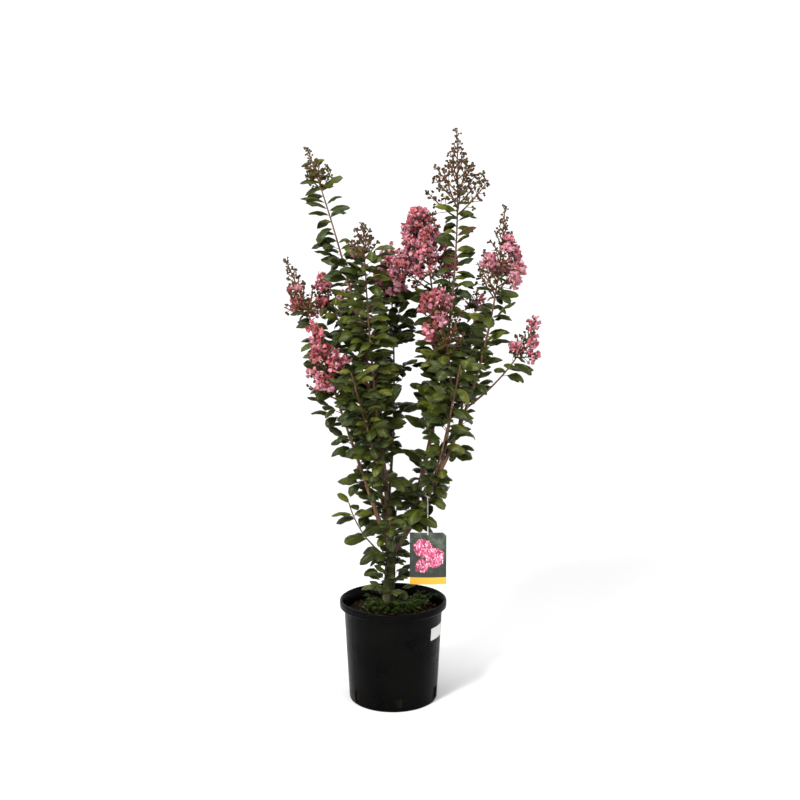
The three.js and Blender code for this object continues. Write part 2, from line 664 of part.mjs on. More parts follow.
// ---- Assembly ----
function allStems() {
  const stems = { trunk: trunkStem() };
  for (const [name, shoot] of Object.entries(SHOOTS)) {
    stems[name] = shootStem(shoot, stems);
  }
  return stems;
}

// The stretches of a stem that become one node each, as [from, to, sides], one clearance apart.
function stretchesOf(name, stem) {
  if (name === 'trunk') {
    return { trunk: [0, 1, TRUNK_SIDES] };
  }
  const { leafy, flower, at } = SHOOTS[name];
  const gap = CLEARANCE / stem.curve.getLength();
  const start = at === 1 ? gap : 0;
  const leafEnd = flower ? flower[0] : 1;
  return {
    ...(leafy > 0 && { bough: [start, leafy, BOUGH_SIDES] }),
    foliage: [leafy > 0 ? leafy + gap : start, leafEnd, STEM_SIDES],
    ...(flower && { flower_head: [leafEnd + gap, 1, HEAD_SIDES] }),
  };
}

// The whole stem, thicker by the clearance all round, with its stretches closed up.
function limbOf(name, stem) {
  const gap = CLEARANCE / stem.curve.getLength();
  const skinned = ([from, to, sides]) => {
    const skin = CLEARANCE / Math.cos(Math.PI / sides);
    return stemSolid(stem, Math.max(0, from - 2 * gap), to, sides, skin);
  };
  return joined(Object.values(stretchesOf(name, stem)).map(skinned));
}

// Each stem is cut clear of the ones before it, and then its leaves or flowers are joined to it.
function plantMeshes(stems) {
  const names = Object.keys(stems);
  const limbs = Object.fromEntries(names.map((name) => [name, limbOf(name, stems[name])]));
  const surroundings = { lines: names.flatMap((name) => centreLine(name, stems[name])), limbs };
  return names.flatMap((name, k) => {
    const stem = stems[name];
    const { reach, flower } = SHOOTS[name] ?? {};
    const earlier = names.slice(0, k).map((other) => limbs[other]);
    return Object.entries(stretchesOf(name, stem)).map(([kind, [from, to, sides]]) => {
      const bare = earlier.reduce((left, limb) => left.subtract(limb), stemSolid(stem, from, to, sides));
      const leafSeed = LEAF_SEED + k * LEAF_SEED_STEP;
      const flowerSeed = FLOWER_SEED + k * FLOWER_SEED_STEP;
      const grow = {
        foliage: () => leafyParts(name, stem, from, to, reach, leafSeed, surroundings),
        flower_head: () => flowerParts(name, stem, from, flower, flowerSeed, surroundings),
      }[kind];
      const whole = largestPiece(joined([bare, ...(grow ? grow() : [])]));
      return meshOf(whole, kind === 'trunk' ? kind : `${kind}_${name}`, finishOf(kind, flower));
    });
  });
}

function finishOf(kind, flower) {
  const headFinish = flower && flower[2] >= PINK_FROM ? PINK_BLOSSOM : FLOWER_BUDS;
  return { trunk: BARK, bough: STEM_SKIN, foliage: FOLIAGE, flower_head: headFinish }[kind];
}

function basalShootMeshes() {
  return Object.entries(BASAL_SHOOTS).map(([name, { foot, tip }], k) => {
    const base = vector([...foot, MIX_LEVEL + CLEARANCE]);
    const knee = new THREE.Vector3(base.x, base.y, (base.z + tip[2]) / 2);
    const curve = new THREE.QuadraticBezierCurve3(base, knee, vector(tip));
    const chance = seeded(31 + k);
    const leaves = Array.from({ length: BASAL_LEAVES }, (_, n) => {
      const at = 0.45 + 0.55 * n / BASAL_LEAVES;
      const rise = radians(TWIG_RISE) + within(RISE_CHANGE, chance);
      const direction = offStem(curve.getTangentAt(at), n * BASAL_LEAF_TURN, rise);
      const length = BASAL_LEAF_LENGTH * within(LEAF_LENGTHS, chance);
      return leafSolid(leafPoints(curve.getPointAt(at), direction, length, 0));
    });
    const stem = limbSolid(curve, (t) => BASAL_GIRTH * (1 - 0.5 * t), STEM_SIDES, 2);
    return meshOf(largestPiece(joined([stem, ...leaves])), name, FOLIAGE);
  });
}

const container = new THREE.Group();
container.add(
  meshOf(potSolid(), 'pot', POT_PLASTIC),
  meshOf(mixSolid(), 'potting_mix', POTTING_MIX),
  meshOf(stickerSolid(), 'pot_sticker', WHITE_LABEL),
);

const stems = allStems();
const plant = new THREE.Group();
plant.add(...plantMeshes(stems), ...basalShootMeshes());

const tag = new THREE.Group();
tag.add(
  meshOf(strapSolid(stems.right), 'tag_strap', STRAP_PLASTIC),
  meshOf(cardSolid(), 'tag_card', CARD_PRINT),
);

const pottedPlant = new THREE.Group();
pottedPlant.add(container, plant, tag);

export default pottedPlant;
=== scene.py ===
"""Crape myrtle with several stems, in bloom, in a round black nursery pot with a hanging card."""
import math
from collections import defaultdict, namedtuple
from itertools import product

import bpy
import numpy as np
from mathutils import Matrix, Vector


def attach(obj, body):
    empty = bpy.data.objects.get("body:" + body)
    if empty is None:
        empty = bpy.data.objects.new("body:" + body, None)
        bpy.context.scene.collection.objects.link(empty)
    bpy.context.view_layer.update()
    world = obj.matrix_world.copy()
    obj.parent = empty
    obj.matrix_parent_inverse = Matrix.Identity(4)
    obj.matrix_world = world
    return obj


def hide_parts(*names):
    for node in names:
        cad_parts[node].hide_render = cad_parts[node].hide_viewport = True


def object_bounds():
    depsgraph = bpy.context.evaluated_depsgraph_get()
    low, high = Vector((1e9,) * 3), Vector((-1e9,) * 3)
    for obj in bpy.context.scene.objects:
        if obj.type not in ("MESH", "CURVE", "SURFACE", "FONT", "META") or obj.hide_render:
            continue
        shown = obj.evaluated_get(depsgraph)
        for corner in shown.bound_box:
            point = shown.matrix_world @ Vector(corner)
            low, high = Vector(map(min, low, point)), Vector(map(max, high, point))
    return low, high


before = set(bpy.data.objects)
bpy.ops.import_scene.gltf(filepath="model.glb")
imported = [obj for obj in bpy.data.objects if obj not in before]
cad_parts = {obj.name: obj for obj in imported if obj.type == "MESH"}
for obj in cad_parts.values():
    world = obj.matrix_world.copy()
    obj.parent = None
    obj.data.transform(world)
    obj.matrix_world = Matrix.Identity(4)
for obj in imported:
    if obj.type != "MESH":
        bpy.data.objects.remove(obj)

CAD_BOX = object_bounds()
MM = 0.001                       # shapes are worked out in millimetres and put into the mesh in metres
UP = np.array([0.0, 0.0, 1.0])

# ---- Driving dimensions, as in the part's source ----
POT_HEIGHT = 280.0
POT_BODY_HEIGHT = 256.0
POT_RIM = 150.0
POT_MOUTH = 137.8
POT_FOOT = 123.5
POT_WALL = 3.0
POT_FLOOR = 4.0
LIP_HEIGHT = 20.0
LIP_WIDTH = 6.0
SLOT_COUNT = 6
SLOT_WIDTH = 18.0
SLOT_BOTTOM = 9.0
SLOT_TOP = 40.0
SLOT_TURN = math.radians(-82)
MIX_LEVEL = 245.0
MIX_EDGE_LEVEL = 239.0
MIX_FLAT_RADIUS = 70.0
MIX_RADIUS = 134.0
STICKER_TURNS = (math.radians(-40), math.radians(0))
STICKER_HEIGHTS = (187.0, 221.0)

TRUNK_FOOT = (-12.0, 2.0, 245.3)
TRUNK_TOP = (-4.0, 0.0, 415.0)
TRUNK_FLARE = ((0, 0.06, 0.16, 0.6, 1), (25, 20, 17.5, 15.5, 12))
STEM_TIP_RADIUS = 1.6

CARD_X = (46.0, 148.0)
CARD_Z = (327.0, 474.0)
CARD_FRONT = -27.0
CARD_THICKNESS = 1.0
CARD_BOW = 5.0
CARD_CLIP = 14.0 / math.sqrt(2)
STRAP_AT = 0.195

# A shoot: the stem that carries it and where on it, tip, bow, radius at the foot, share that is bare
# below its leaves, reach of its leaves, and its flower head (where it begins, half width, share of open
# flowers) or None.
Shoot = namedtuple("Shoot", "carrier at tip bow girth bare reach head")
Head = namedtuple("Head", "start width opened")
SHOOTS = {
    "tall_left": ("trunk", 1, (-225, -30, 1509), (76, 2, 19), 9, 0.1, 74, (0.9, 36, 0)),
    "left_front": ("trunk", 0.95, (-207, -130, 1049), (-8, 9, -1), 8, 0.13, 78, (0.68, 62, 1)),
    "right": ("trunk", 0.92, (299, -30, 1358), (130, 2, -55), 9, 0.22, 78, (0.76, 76, 0.5)),
    "tall_right": ("right", 0.07, (173, 30, 1569), (95, 1, -19), 7.5, 0.1, 76, (0.79, 104, 0)),
    "inner_left": ("tall_left", 0.12, (-77, -100, 1305), (-18, 5, 0), 6, 0.11, 68, (0.88, 42, 0.2)),
    "centre": ("tall_right", 0.26, (70, 100, 1365), (57, 13, -4), 5.5, 0.12, 66, (0.6, 112, 1)),
    "centre_front": ("right", 0.26, (103, -100, 1127), (86, 21, 24), 5, 0.18, 64, (0.66, 62, 1)),
    "left_side": ("left_front", 0.64, (-297, 60, 1222), (14, -18, 11), 3.6, 0, 60, (0.6, 46, 0.25)),
    "left_back": ("tall_left", 0.5, (-203, 120, 1179), (-43, -56, 4), 3.4, 0, 56, (0.56, 30, 1)),
    "right_back": ("right", 0.4, (241, 120, 1148), (2, -34, 12), 3.6, 0, 62, (0.84, 24, 1)),
    "right_side": ("right", 0.46, (385, -20, 1055), (44, -8, -15), 3.4, 0, 50, (0.62, 38, 1)),
    "back_left": ("trunk", 0.97, (-130, 235, 1190), (-10, 60, -40), 7, 0.15, 78, (0.85, 45, 1)),
    "back_right": ("right", 0.1, (180, 240, 1200), (30, 70, -40), 7, 0.15, 78, (0.85, 48, 0.6)),
    "front_left": ("tall_left", 0.15, (-105, -205, 930), (5, -30, -20), 4.5, 0.15, 70, None),
    "front_right": ("right", 0.2, (172, -195, 950), (5, -30, -30), 4.5, 0.15, 70, None),
    "low_left": ("trunk", 0.86, (-122, -20, 556), (-28, 0, -28), 3, 0, 48, None),
    "low_front": ("left_front", 0.06, (-8, -128, 528), (4, -20, -8), 3, 0, 48, None),
    "low_right": ("right", 0.16, (158, 18, 596), (10, 0, -16), 3, 0, 44, None),
    "low_back": ("trunk", 0.9, (14, 135, 556), (0, 26, -18), 3, 0, 50, None),
    "centre_back": ("back_left", 0.1, (-16, 130, 1262), (40, -8, 0), 5, 0.38, 72, (0.8, 44, 1)),
}
SHOOTS = {name: Shoot(*row, head and Head(*head)) for name, (*row, head) in SHOOTS.items()}
BASAL_SHOOTS = {
    "basal_shoot_left": ((-42, -22), (-62, -34, 286)),
    "basal_shoot_middle": ((24, -34), (30, -52, 290)),
    "basal_shoot_right": ((52, 8), (78, 6, 292)),
}

# ---- Sizes of what the solids leave to this script ----
LEAF_LENGTH = (57.0, 84.0)
LEAF_WIDTH = 0.51                # of its length
LEAF_THICKNESS = 0.4
LEAF_APART = 17.0                # between the middles of two leaves
LEAVES_FROM = 0.35               # leaves begin at this share of what is bare in the solids
TWIG_LEAF_STEP = 21.0            # between two pairs along a twig
SHORTEST_TWIG = 14.0
TWIG_RISE = math.radians(52)
TWIG = np.linspace(0, 1, 5)      # a twig's points, as shares of its length
LIGHT_SIDE = np.array([0.0, -1.0, 0.0])      # the side the leaves turn their faces to
# The step between two pairs along the stem, the share of its reach that a twig may take at the foot and
# at the top of the leaves, and the low end of the range that share is drawn from: a short draw is a leaf
# on the stem itself.
SPRAY = (21, 1.15, 0.9, -0.4)
SPRAYS = {
    "tall_left": (18, 1.0, 0.25, -0.4), "inner_left": (16, 1.2, 0.8, -0.2), "centre": (13, 1.3, 1.0, -0.1),
    "centre_back": (13, 1.3, 1.15, 0.0), "tall_right": (20, 0.9, 0.2, -0.5), "right": (16, 0.95, 0.45, -0.4),
    "left_front": (19, 1.15, 1.0, -0.3), "centre_front": (18, 1.1, 1.0, -0.3),
    "left_side": (17, 1.0, 0.4, -0.3), "left_back": (17, 1.2, 1.0, 0.0), "right_back": (17, 1.2, 1.0, 0.0),
    "front_right": (23, 0.85, 0.8, -0.5),
    "low_left": (14, 1.0, 0.7, -0.3), "low_front": (14, 1.2, 0.8, -0.3), "low_right": (14, 1.2, 0.8, -0.3),
}
# of the leaves: smaller on the low shoots, larger up the tall ones
LEAF_SIZES = {"low_left": 0.98, "low_front": 0.82, "low_right": 0.8, "low_back": 0.8, "front_left": 0.95,
              "tall_left": 1.06, "tall_right": 1.08, "right": 1.06}
# side shoots low on the trunk: height and turn of each
COLLAR = ((268, 2.8), (274, 0.3), (282, 5.0), (292, 3.6), (300, 2.6), (306, 0.9), (314, 5.6), (322, 3.1),
          (332, 4.4), (340, 0.2), (350, 1.9), (358, 2.9), (366, 5.4), (378, 3.4), (386, 6.1), (392, 1.2))
# from which share of a shoot upwards its leaves stand in two ranks, left and right
TWO_RANKED = {"tall_left": 0.4, "tall_right": 0.3, "right": 0.2, "left_front": 0.0, "inner_left": 0.3,
              "centre_front": 0.2, "front_left": 0.2, "front_right": 0.2, "left_side": 0.0,
              "right_side": 0.0, "low_left": 0.0, "low_right": 0.0}
LEAF_SLACK = 34.0                # how much nearer another stem's line than its own a leaf may lie
HEAD_SLACK = 45.0                # the same for a flower head's branches
SKIN_CLEAR = 2.5                 # between a leaf's marks and another stem's skin
BOX_MARGIN = 7.0                 # how far leaves may reach out of the solids' box
BRANCH_STEP = (3.5, 0.05)        # between two branches up a flower head: least, and share of its half width
SPRIG_STEP = 6.2                 # between two sprigs along such a branch
GOLDEN_TURN = 2.4                # between one branch and the next, in radians
FLORET_RADIUS = (14.0, 18.0)
FLORET_APART = 9.4
BUD_RADIUS = (2.8, 4.0)
YOUNG_HEADS = {"tall_left": 0.95}    # heads whose buds are still small, green and close set: their size
HEAD_LIGHTER = {"right": 1.0, "right_side": 2.6, "left_front": 0.4, "centre_front": 0.4}    # by so many tones
CLUMP_SIZE = 24.0                # of the clumps that open flowers stand in
CLUMP_GAPS = -0.1                # where the clumps' noise is lower there are buds only
OPEN_IN_CLUMP = 0.86             # share of a placed clump's ends that open
BUDS_IN_CLUMP = 0.3              # share of its crowded ends that bear buds all the same
BARE_ENDS = 0.45                 # share of the ends between the clumps that bear nothing
# A flower head's longest branches as a share of its half width, and the power by which they shorten up
# the head.
HEAD_SHAPE = (1.38, 1.25)
HEAD_SHAPES = {"centre": (1.38, 0.85), "centre_front": (1.38, 0.6), "inner_left": (1.38, 0.9),
               "tall_right": (1.17, 1.3)}
EYE = np.array([19.0, -2600.0, 1103.5])      # near the camera's place
# Ellipses where the view from the eye meets the plane y = 0: x, z, half width and half height of each.
# First the sky between and beside the leaves, then the clumps of open flowers by head. Other heads have
# clumps by chance.
SKY_GAPS = (
    (52, 740, 35, 38), (138, 757, 22, 22), (14, 679, 26, 23), (25, 645, 17, 21), (36, 856, 26, 22),
    (20, 959, 25, 18), (52, 907, 24, 16), (174, 654, 24, 22), (-122, 669, 26, 14), (350, 1036, 25, 33),
    (314, 975, 15, 20), (190, 1102, 18, 14), (251, 1125, 16, 16), (248, 845, 18, 12), (181, 1054, 20, 12),
    (117, 532, 16, 14), (-67, 447, 15, 15), (59, 812, 15, 14), (184, 728, 16, 13), (-119, 499, 15, 13),
    (-222, 1184, 12, 26), (-112, 1324, 22, 24), (328, 771, 102, 116), (297, 566, 150, 124),
    (249, 412, 106, 86), (-251, 504, 84, 136),
)
CLUMPS = {
    "left_front": ((-221, 1030, 30, 27), (-214, 980, 30, 25), (-145, 950, 36, 25), (-233, 912, 25, 20),
                   (-187, 887, 25, 20)),
    "left_side": ((-245, 1100, 25, 17), (-268, 1140, 9, 9), (-221, 1079, 16, 14)),
    "left_back": ((-182, 1157, 22, 20), (-188, 1103, 20, 20)),
    "inner_left": ((-111, 1235, 14, 12), (-64, 1216, 14, 12)),
    "centre": ((65, 1326, 36, 26), (45, 1268, 40, 28), (92, 1245, 46, 34), (140, 1222, 36, 26),
               (33, 1216, 50, 26), (100, 1185, 54, 18), (30, 1275, 32, 32), (100, 1280, 40, 28),
               (14, 1216, 27, 32), (155, 1216, 24, 32), (87, 1146, 33, 16)),
    "centre_front": ((85, 1109, 33, 34), (150, 1122, 23, 30), (52, 1149, 19, 14), (96, 1008, 25, 32),
                     (93, 959, 14, 12), (128, 1060, 13, 14)),
    "right": ((347, 1238, 25, 60), (314, 1262, 14, 17), (263, 1216, 15, 14), (291, 1190, 20, 20),
              (340, 1160, 27, 20)),
    "right_side": ((388, 1043, 19, 18), (391, 1000, 19, 20), (378, 964, 15, 12), (331, 983, 15, 13)),
}
# Share of open flowers at a head's foot and at its tip. Where CLUMPS names the head, this decides only
# how far up the ends between its clumps all bear buds.
OPEN_SHARE = {
    "tall_left": (0, 0), "left_front": (1, 0.85), "right": (0.85, 0), "tall_right": (0, 0),
    "inner_left": (0.35, 0), "centre": (1, 0.85), "centre_front": (1, 0.9), "left_side": (0.45, 0),
    "left_back": (1, 0.5), "right_back": (0.9, 0.2), "right_side": (1, 0.6), "back_left": (1, 0.5),
    "back_right": (0.8, 0.1), "centre_back": (1, 0.8),
}
HALF_OPEN = 0.5                  # heads with a smaller share of open flowers count as heads of buds
SPRIGS = 22                      # in each tuft of low growth
SPRIG_SPREAD = (15, 13)          # how far their feet and their tips scatter
SPRIG_BOW = UP * 5
BARK_SHREDS = 1300               # thrown on the mix
SHRED_HALVES = ((3.5, 13), (1.4, 4.2), (0.6, 1.8))   # half their length, breadth and thickness
SHREDS_CLEAR = 22                # of the trunk's axis
STICKER_SKINS = (0.85, 0.35)     # how far the label's front and back stand off the wall
STRAP_HALVES = (1.5, 0.4, 0.35)  # half the strap's breadth, and half its thickness in the loop and in the run
STRAP_SAG = 2.5
STRAP_TWIST = 0.8                # in radians
# the pieces that foliage and flowers are joined into, each with its shoots
REGIONS = {
    "left": ("tall_left", "left_front", "inner_left", "left_side", "front_left", "low_left", "low_front"),
    "right": ("right", "tall_right", "centre_front", "right_side", "front_right", "low_right"),
    "back": ("centre", "left_back", "right_back", "back_left", "back_right", "low_back", "centre_back"),
}
REGION_OF = {name: region for region, names in REGIONS.items() for name in names}


# ---- Small helpers ----
def unit(v):
    """v divided by its own length, along the last axis."""
    v = np.asarray(v, float)
    return v / np.maximum(np.linalg.norm(v, axis=-1, keepdims=True), 1e-9)


def turned(v, axis, angle):
    """v turned about the unit axis by the angle: v cos a + (axis x v) sin a + axis (axis . v)(1 - cos a)."""
    v, axis = np.asarray(v, float), np.asarray(axis, float)
    c, s = np.expand_dims(np.cos(angle), -1), np.expand_dims(np.sin(angle), -1)
    dot = np.sum(v * axis, axis=-1, keepdims=True)
    return v * c + np.cross(axis, v) * s + axis * dot * (1 - c)


def square_to(axis):
    """A unit vector square to each axis."""
    return unit(np.cross(axis, np.eye(3)[np.abs(axis).argmin(-1)]))


def about_z(radius, turn, height):
    """Points at the radius and height, at the turn about Z."""
    radius, turn, height = np.broadcast_arrays(radius, turn, height)
    return np.stack([radius * np.cos(turn), radius * np.sin(turn), height], -1)


def on_line(points, shares, u):
    """The place at u on the line through the points, which stand at the given shares of it."""
    return np.stack([np.interp(u, shares, points[:, k]) for k in range(3)], -1)


def bowed(start, end, bow, u):
    """The place at u on the way from start to end, off the straight line by bow sin(pi u)."""
    return start + (end - start) * u + bow * np.sin(np.pi * u)


def ring_faces(rings, sides, first=0):
    """Quads between rings of points one after the other: point j of ring i is first + i * sides + j."""
    i, j = np.meshgrid(np.arange(rings - 1), np.arange(sides), indexing="ij")
    a = first + i * sides + j
    b = first + i * sides + (j + 1) % sides
    return np.stack([a, b, b + sides, a + sides], -1).reshape(-1, 4)


def tube_faces(rings, sides):
    """Quads and end triangles of a closed tube: point 0 is its foot, then come the rings, then its tip."""
    quads = ring_faces(rings, sides, 1)
    j = np.arange(sides)
    last = 1 + (rings - 1) * sides
    foot = np.stack([np.zeros(sides, int), 1 + (j + 1) % sides, 1 + j], -1)
    tip = np.stack([np.full(sides, last + sides), last + j, last + (j + 1) % sides], -1)
    return quads, np.concatenate([foot, tip])


def repeated(faces, count, stride):
    """The same faces for count shapes whose points follow each other, stride points each."""
    return (faces[None] + (np.arange(count) * stride)[:, None, None]).reshape(-1, faces.shape[1])


class Shape:
    """Points in millimetres with quads and triangles, a finish number for each face and a UV for each
    point."""

    def __init__(self, points, quads, tris=(), quad_finish=None, tri_finish=None, uv=None):
        self.points = np.asarray(points, float).reshape(-1, 3)
        self.quads = np.asarray(quads, int).reshape(-1, 4)
        self.tris = np.asarray(tris, int).reshape(-1, 3)
        self.quad_finish = np.zeros(len(self.quads), int) if quad_finish is None else quad_finish
        self.tri_finish = np.zeros(len(self.tris), int) if tri_finish is None else tri_finish
        self.uv = np.zeros((len(self.points), 2)) if uv is None else uv


def together(shapes):
    """One shape of several, their points one after the other."""
    starts = np.cumsum([0] + [len(s.points) for s in shapes[:-1]])
    quads = [s.quads + first for s, first in zip(shapes, starts)]
    tris = [s.tris + first for s, first in zip(shapes, starts)]
    fields = [[getattr(s, field) for s in shapes] for field in ("quad_finish", "tri_finish", "uv")]
    return Shape(*map(np.concatenate, ([s.points for s in shapes], quads, tris, *fields)))


def closed_tubes(foot, rings, tip, u=None, v=None, end_u=0.5, tone=0):
    """Many closed tubes at once: a foot point, rings of points (tubes, rings, sides, 3) and a tip point
    for each. u is given for each side and v for each ring. The tone is a finish number for each tube or
    each side of it."""
    tubes, count, sides, _xyz = rings.shape
    points = np.concatenate([end.reshape(tubes, -1, 3) for end in (foot, rings, tip)], 1)
    stride = count * sides + 2
    quads, tris = tube_faces(count, sides)
    uv = np.zeros((stride, 2))
    if u is not None:
        uv[:, 0] = [end_u, *np.tile(u, count), end_u]
        uv[:, 1] = [0, *np.repeat(v, sides), 1]
    tone = np.broadcast_to(tone, (tubes, sides))
    return Shape(points, repeated(quads, tubes, stride), repeated(tris, tubes, stride),
                 np.tile(tone, count - 1).ravel(), np.tile(tone, 2).ravel(), np.tile(uv, (tubes, 1)))


def put(name, shape, finishes, replaces=(), smooth=True, sharp_lines=None, corners=None):
    """Makes the piece: mesh at the origin in metres, riding on the root body. Edges are sharp where
    sharp_lines says so, or where faces meet at more than the angle of its corners."""
    mesh = bpy.data.meshes.new(name)
    mesh.vertices.add(len(shape.points))
    mesh.vertices.foreach_set("co", (shape.points * MM).astype(np.float32).ravel())
    vertex_of = np.concatenate([shape.quads.ravel(), shape.tris.ravel()])
    starts = np.concatenate([np.arange(len(shape.quads)) * 4,
                             len(shape.quads) * 4 + np.arange(len(shape.tris)) * 3])
    mesh.loops.add(len(vertex_of))
    mesh.loops.foreach_set("vertex_index", vertex_of.astype(np.int32))
    mesh.polygons.add(len(starts))
    mesh.polygons.foreach_set("loop_start", starts.astype(np.int32))
    for finish in FINISHES[finishes]:
        mesh.materials.append(finish)
    numbers = np.concatenate([shape.quad_finish, shape.tri_finish])
    mesh.polygons.foreach_set("material_index", numbers.astype(np.int32))
    mesh.update(calc_edges=True)
    layer = mesh.uv_layers.new(name="UVMap")
    layer.data.foreach_set("uv", shape.uv[vertex_of].astype(np.float32).ravel())
    mesh.polygons.foreach_set("use_smooth", np.full(len(starts), smooth))
    if sharp_lines:
        ends = np.empty(len(mesh.edges) * 2, np.int32)
        mesh.edges.foreach_get("vertices", ends)
        mesh.edges.foreach_set("use_edge_sharp", sharp_lines(ends.reshape(-1, 2)))
    mesh.validate()
    if corners:
        mesh.set_sharp_from_angle(angle=corners)
    piece = bpy.data.objects.new(name, mesh)
    bpy.context.scene.collection.objects.link(piece)
    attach(piece, "root")
    if replaces:
        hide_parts(*replaces)


# ---- Stems: the source's rule ----
class Stem:
    """A quadratic curve, foot (1-t)^2 + 2 knee t (1-t) + tip t^2, read by the fraction of its length."""

    def __init__(self, foot, knee, tip, radius_at):
        t = np.linspace(0, 1, 401)[:, None]
        foot, knee, tip = (np.asarray(p, float) for p in (foot, knee, tip))
        self.points = foot * (1 - t) ** 2 + 2 * knee * t * (1 - t) + tip * t ** 2
        steps = np.linalg.norm(np.diff(self.points, axis=0), axis=1)
        self.length = steps.sum()
        self.share = np.concatenate([[0], np.cumsum(steps)]) / self.length
        self.radius_at = radius_at

    def at(self, u):
        return on_line(self.points, self.share, u)

    def along(self, u):
        u = np.asarray(u, float)
        return unit(self.at(np.minimum(u + 0.004, 1)) - self.at(np.maximum(u - 0.004, 0)))


def shoot_radius(girth):
    return lambda u: STEM_TIP_RADIUS + (girth - STEM_TIP_RADIUS) * (1 - np.asarray(u, float)) ** 1.5


def all_stems():
    foot, top = np.array(TRUNK_FOOT), np.array(TRUNK_TOP)
    knee = np.array([foot[0], foot[1], (foot[2] + top[2]) / 2])
    stems = {"trunk": Stem(foot, knee, top, lambda u: np.interp(u, *TRUNK_FLARE))}
    for name, shoot in SHOOTS.items():
        start = stems[shoot.carrier].at(shoot.at)
        tip = np.array(shoot.tip, float)
        knee = (start + tip) / 2 + np.array(shoot.bow, float)
        stems[name] = Stem(start, knee, tip, shoot_radius(shoot.girth))
    return stems


STEMS = all_stems()
MARK_STEP = 8                    # between the marks along each stem that in_space measures from
MARKS = {name: np.linspace(0, 1, int(stem.length / MARK_STEP) + 2) for name, stem in STEMS.items()}
MARK_POINTS = np.concatenate([STEMS[name].at(u) for name, u in MARKS.items()])
MARK_RADIUS = np.concatenate([STEMS[name].radius_at(u) for name, u in MARKS.items()])
MARK_OWNER = np.repeat(list(MARKS), [len(u) for u in MARKS.values()])
OWN_MARKS = {name: MARK_OWNER == name for name in MARKS}
BOX_LOW = np.array(CAD_BOX[0]) / MM - BOX_MARGIN
BOX_HIGH = np.array(CAD_BOX[1]) / MM + BOX_MARGIN


def in_space(points, name, slack):
    """Whether each point stays the named stem's: nearer to its line, but for the slack, than to any
    other, clear of the other stems' skins, and in the part's box."""
    points = np.asarray(points, float)
    apart = np.linalg.norm(points[:, None] - MARK_POINTS, axis=-1)
    own = OWN_MARKS[name]
    other = apart[:, ~own]
    near = apart[:, own].min(1) < other.min(1) + slack
    clear = (other > MARK_RADIUS[~own] + SKIN_CLEAR).all(1)
    inside = ((points > BOX_LOW) & (points < BOX_HIGH)).all(1)
    return near & clear & inside


def seen_in(point, ellipses):
    """Whether the line from the eye through the point meets the plane y = 0 in one of the ellipses."""
    ellipses = np.array(ellipses, float)
    met = EYE + (point - EYE) * EYE[1] / (EYE[1] - point[1])
    off = (met[[0, 2]] - ellipses[:, :2]) / ellipses[:, 2:]
    return bool((np.sum(off ** 2, axis=1) < 1).any())


def off_stem(tangent, turn, rise):
    """The direction that stands off a stem by the rise, at the turn about it, counted from +X."""
    across = unit(np.array([1.0, 0, 0]) - tangent * tangent[0])
    third = np.cross(tangent, across)
    outward = across * math.cos(turn) + third * math.sin(turn)
    return outward * math.sin(rise) + tangent * math.cos(rise)


def sweep(paths, radii, sides, relief=None):
    """Closed tubes along many paths at once. Point j of ring i lies at path + r (side cos a + other sin
    a), with a = 2 pi j / sides; side is square to the path. paths: (count, rings, 3), radii: (count,
    rings)."""
    paths, radii = np.asarray(paths, float), np.asarray(radii, float)
    tangent = unit(np.gradient(paths, axis=1))
    axis = np.eye(3)[np.abs(unit(tangent.mean(1))).argmin(1)][:, None]
    side = unit(np.cross(tangent, axis))
    other = np.cross(tangent, side)
    a = np.arange(sides) * 2 * np.pi / sides
    girth = radii[..., None] * np.ones(sides) if relief is None else relief(paths, radii, a)
    out = side[:, :, None] * np.cos(a)[:, None] + other[:, :, None] * np.sin(a)[:, None]
    rings = paths[:, :, None] + girth[..., None] * out
    tip = paths[:, -1] + tangent[:, -1] * radii[:, -1, None] * 0.5
    upward = np.linspace(0, 1, radii.shape[1])
    return closed_tubes(paths[:, 0], rings, tip, u=np.arange(sides) / sides, v=upward, end_u=0)


def wave_noise(points, scale, seed):
    """A smooth bumpy value between about -1 and 1: the mean of six sines in directions that the seed
    fixes."""
    chance = np.random.default_rng(seed)
    ways = unit(chance.normal(size=(6, 3))) * chance.uniform(0.6, 1.6, (6, 1)) / scale
    phase = chance.uniform(0, 2 * np.pi, 6)
    return np.sin(points @ ways.T + phase).mean(-1) * 1.8


def bark_relief(flutes, depth, seed):
    """Ridges along the stem that wander with height, with lumps and a fine grain on them."""
    def relief(paths, radii, a):
        height = paths[..., 2:3]
        ridge = np.cos(flutes * a + 2.2 * np.sin(height / 55 + seed))
        ridge += 0.5 * np.cos((2 * flutes + 1) * a + height / 31)
        ring = paths[:, :, None] + radii[..., None, None] * about_z(1, a, 0)
        lumps = wave_noise(ring, 5.0, seed) + 0.6 * wave_noise(ring * [1, 1, 0.3], 1.7, seed + 1)
        return radii[..., None] * (1 + depth * (0.5 * ridge + 0.6 * lumps))
    return relief


def stem_tube(name, low, high, sides, step, relief):
    """A stretch of a stem with a ring every step millimetres."""
    stem = STEMS[name]
    u = np.linspace(low, high, max(3, int(stem.length * (high - low) / step) + 1))
    return sweep(stem.at(u)[None], stem.radius_at(u)[None], sides, relief)


# ---- Leaves ----
LEAF_STATIONS = np.array([0.06, 0.19, 0.37, 0.6, 0.82, 0.96])
LEAF_BREADTH = np.array([0.08, 0.56, 0.9, 1.0, 0.8, 0.36])
LEAF_ACROSS = np.array([-1, -0.5, 0, 0.5, 1, 0.5, 0, -0.5])
LEAF_FACE = np.array([0, 1, 1, 1, 0, -1, -1, -1])
LEAF_SIDES = len(LEAF_ACROSS)
LEAF_POINTS = LEAF_SIDES * len(LEAF_STATIONS) + 2
UNDERSIDE = 4                    # its number among the leaf finishes


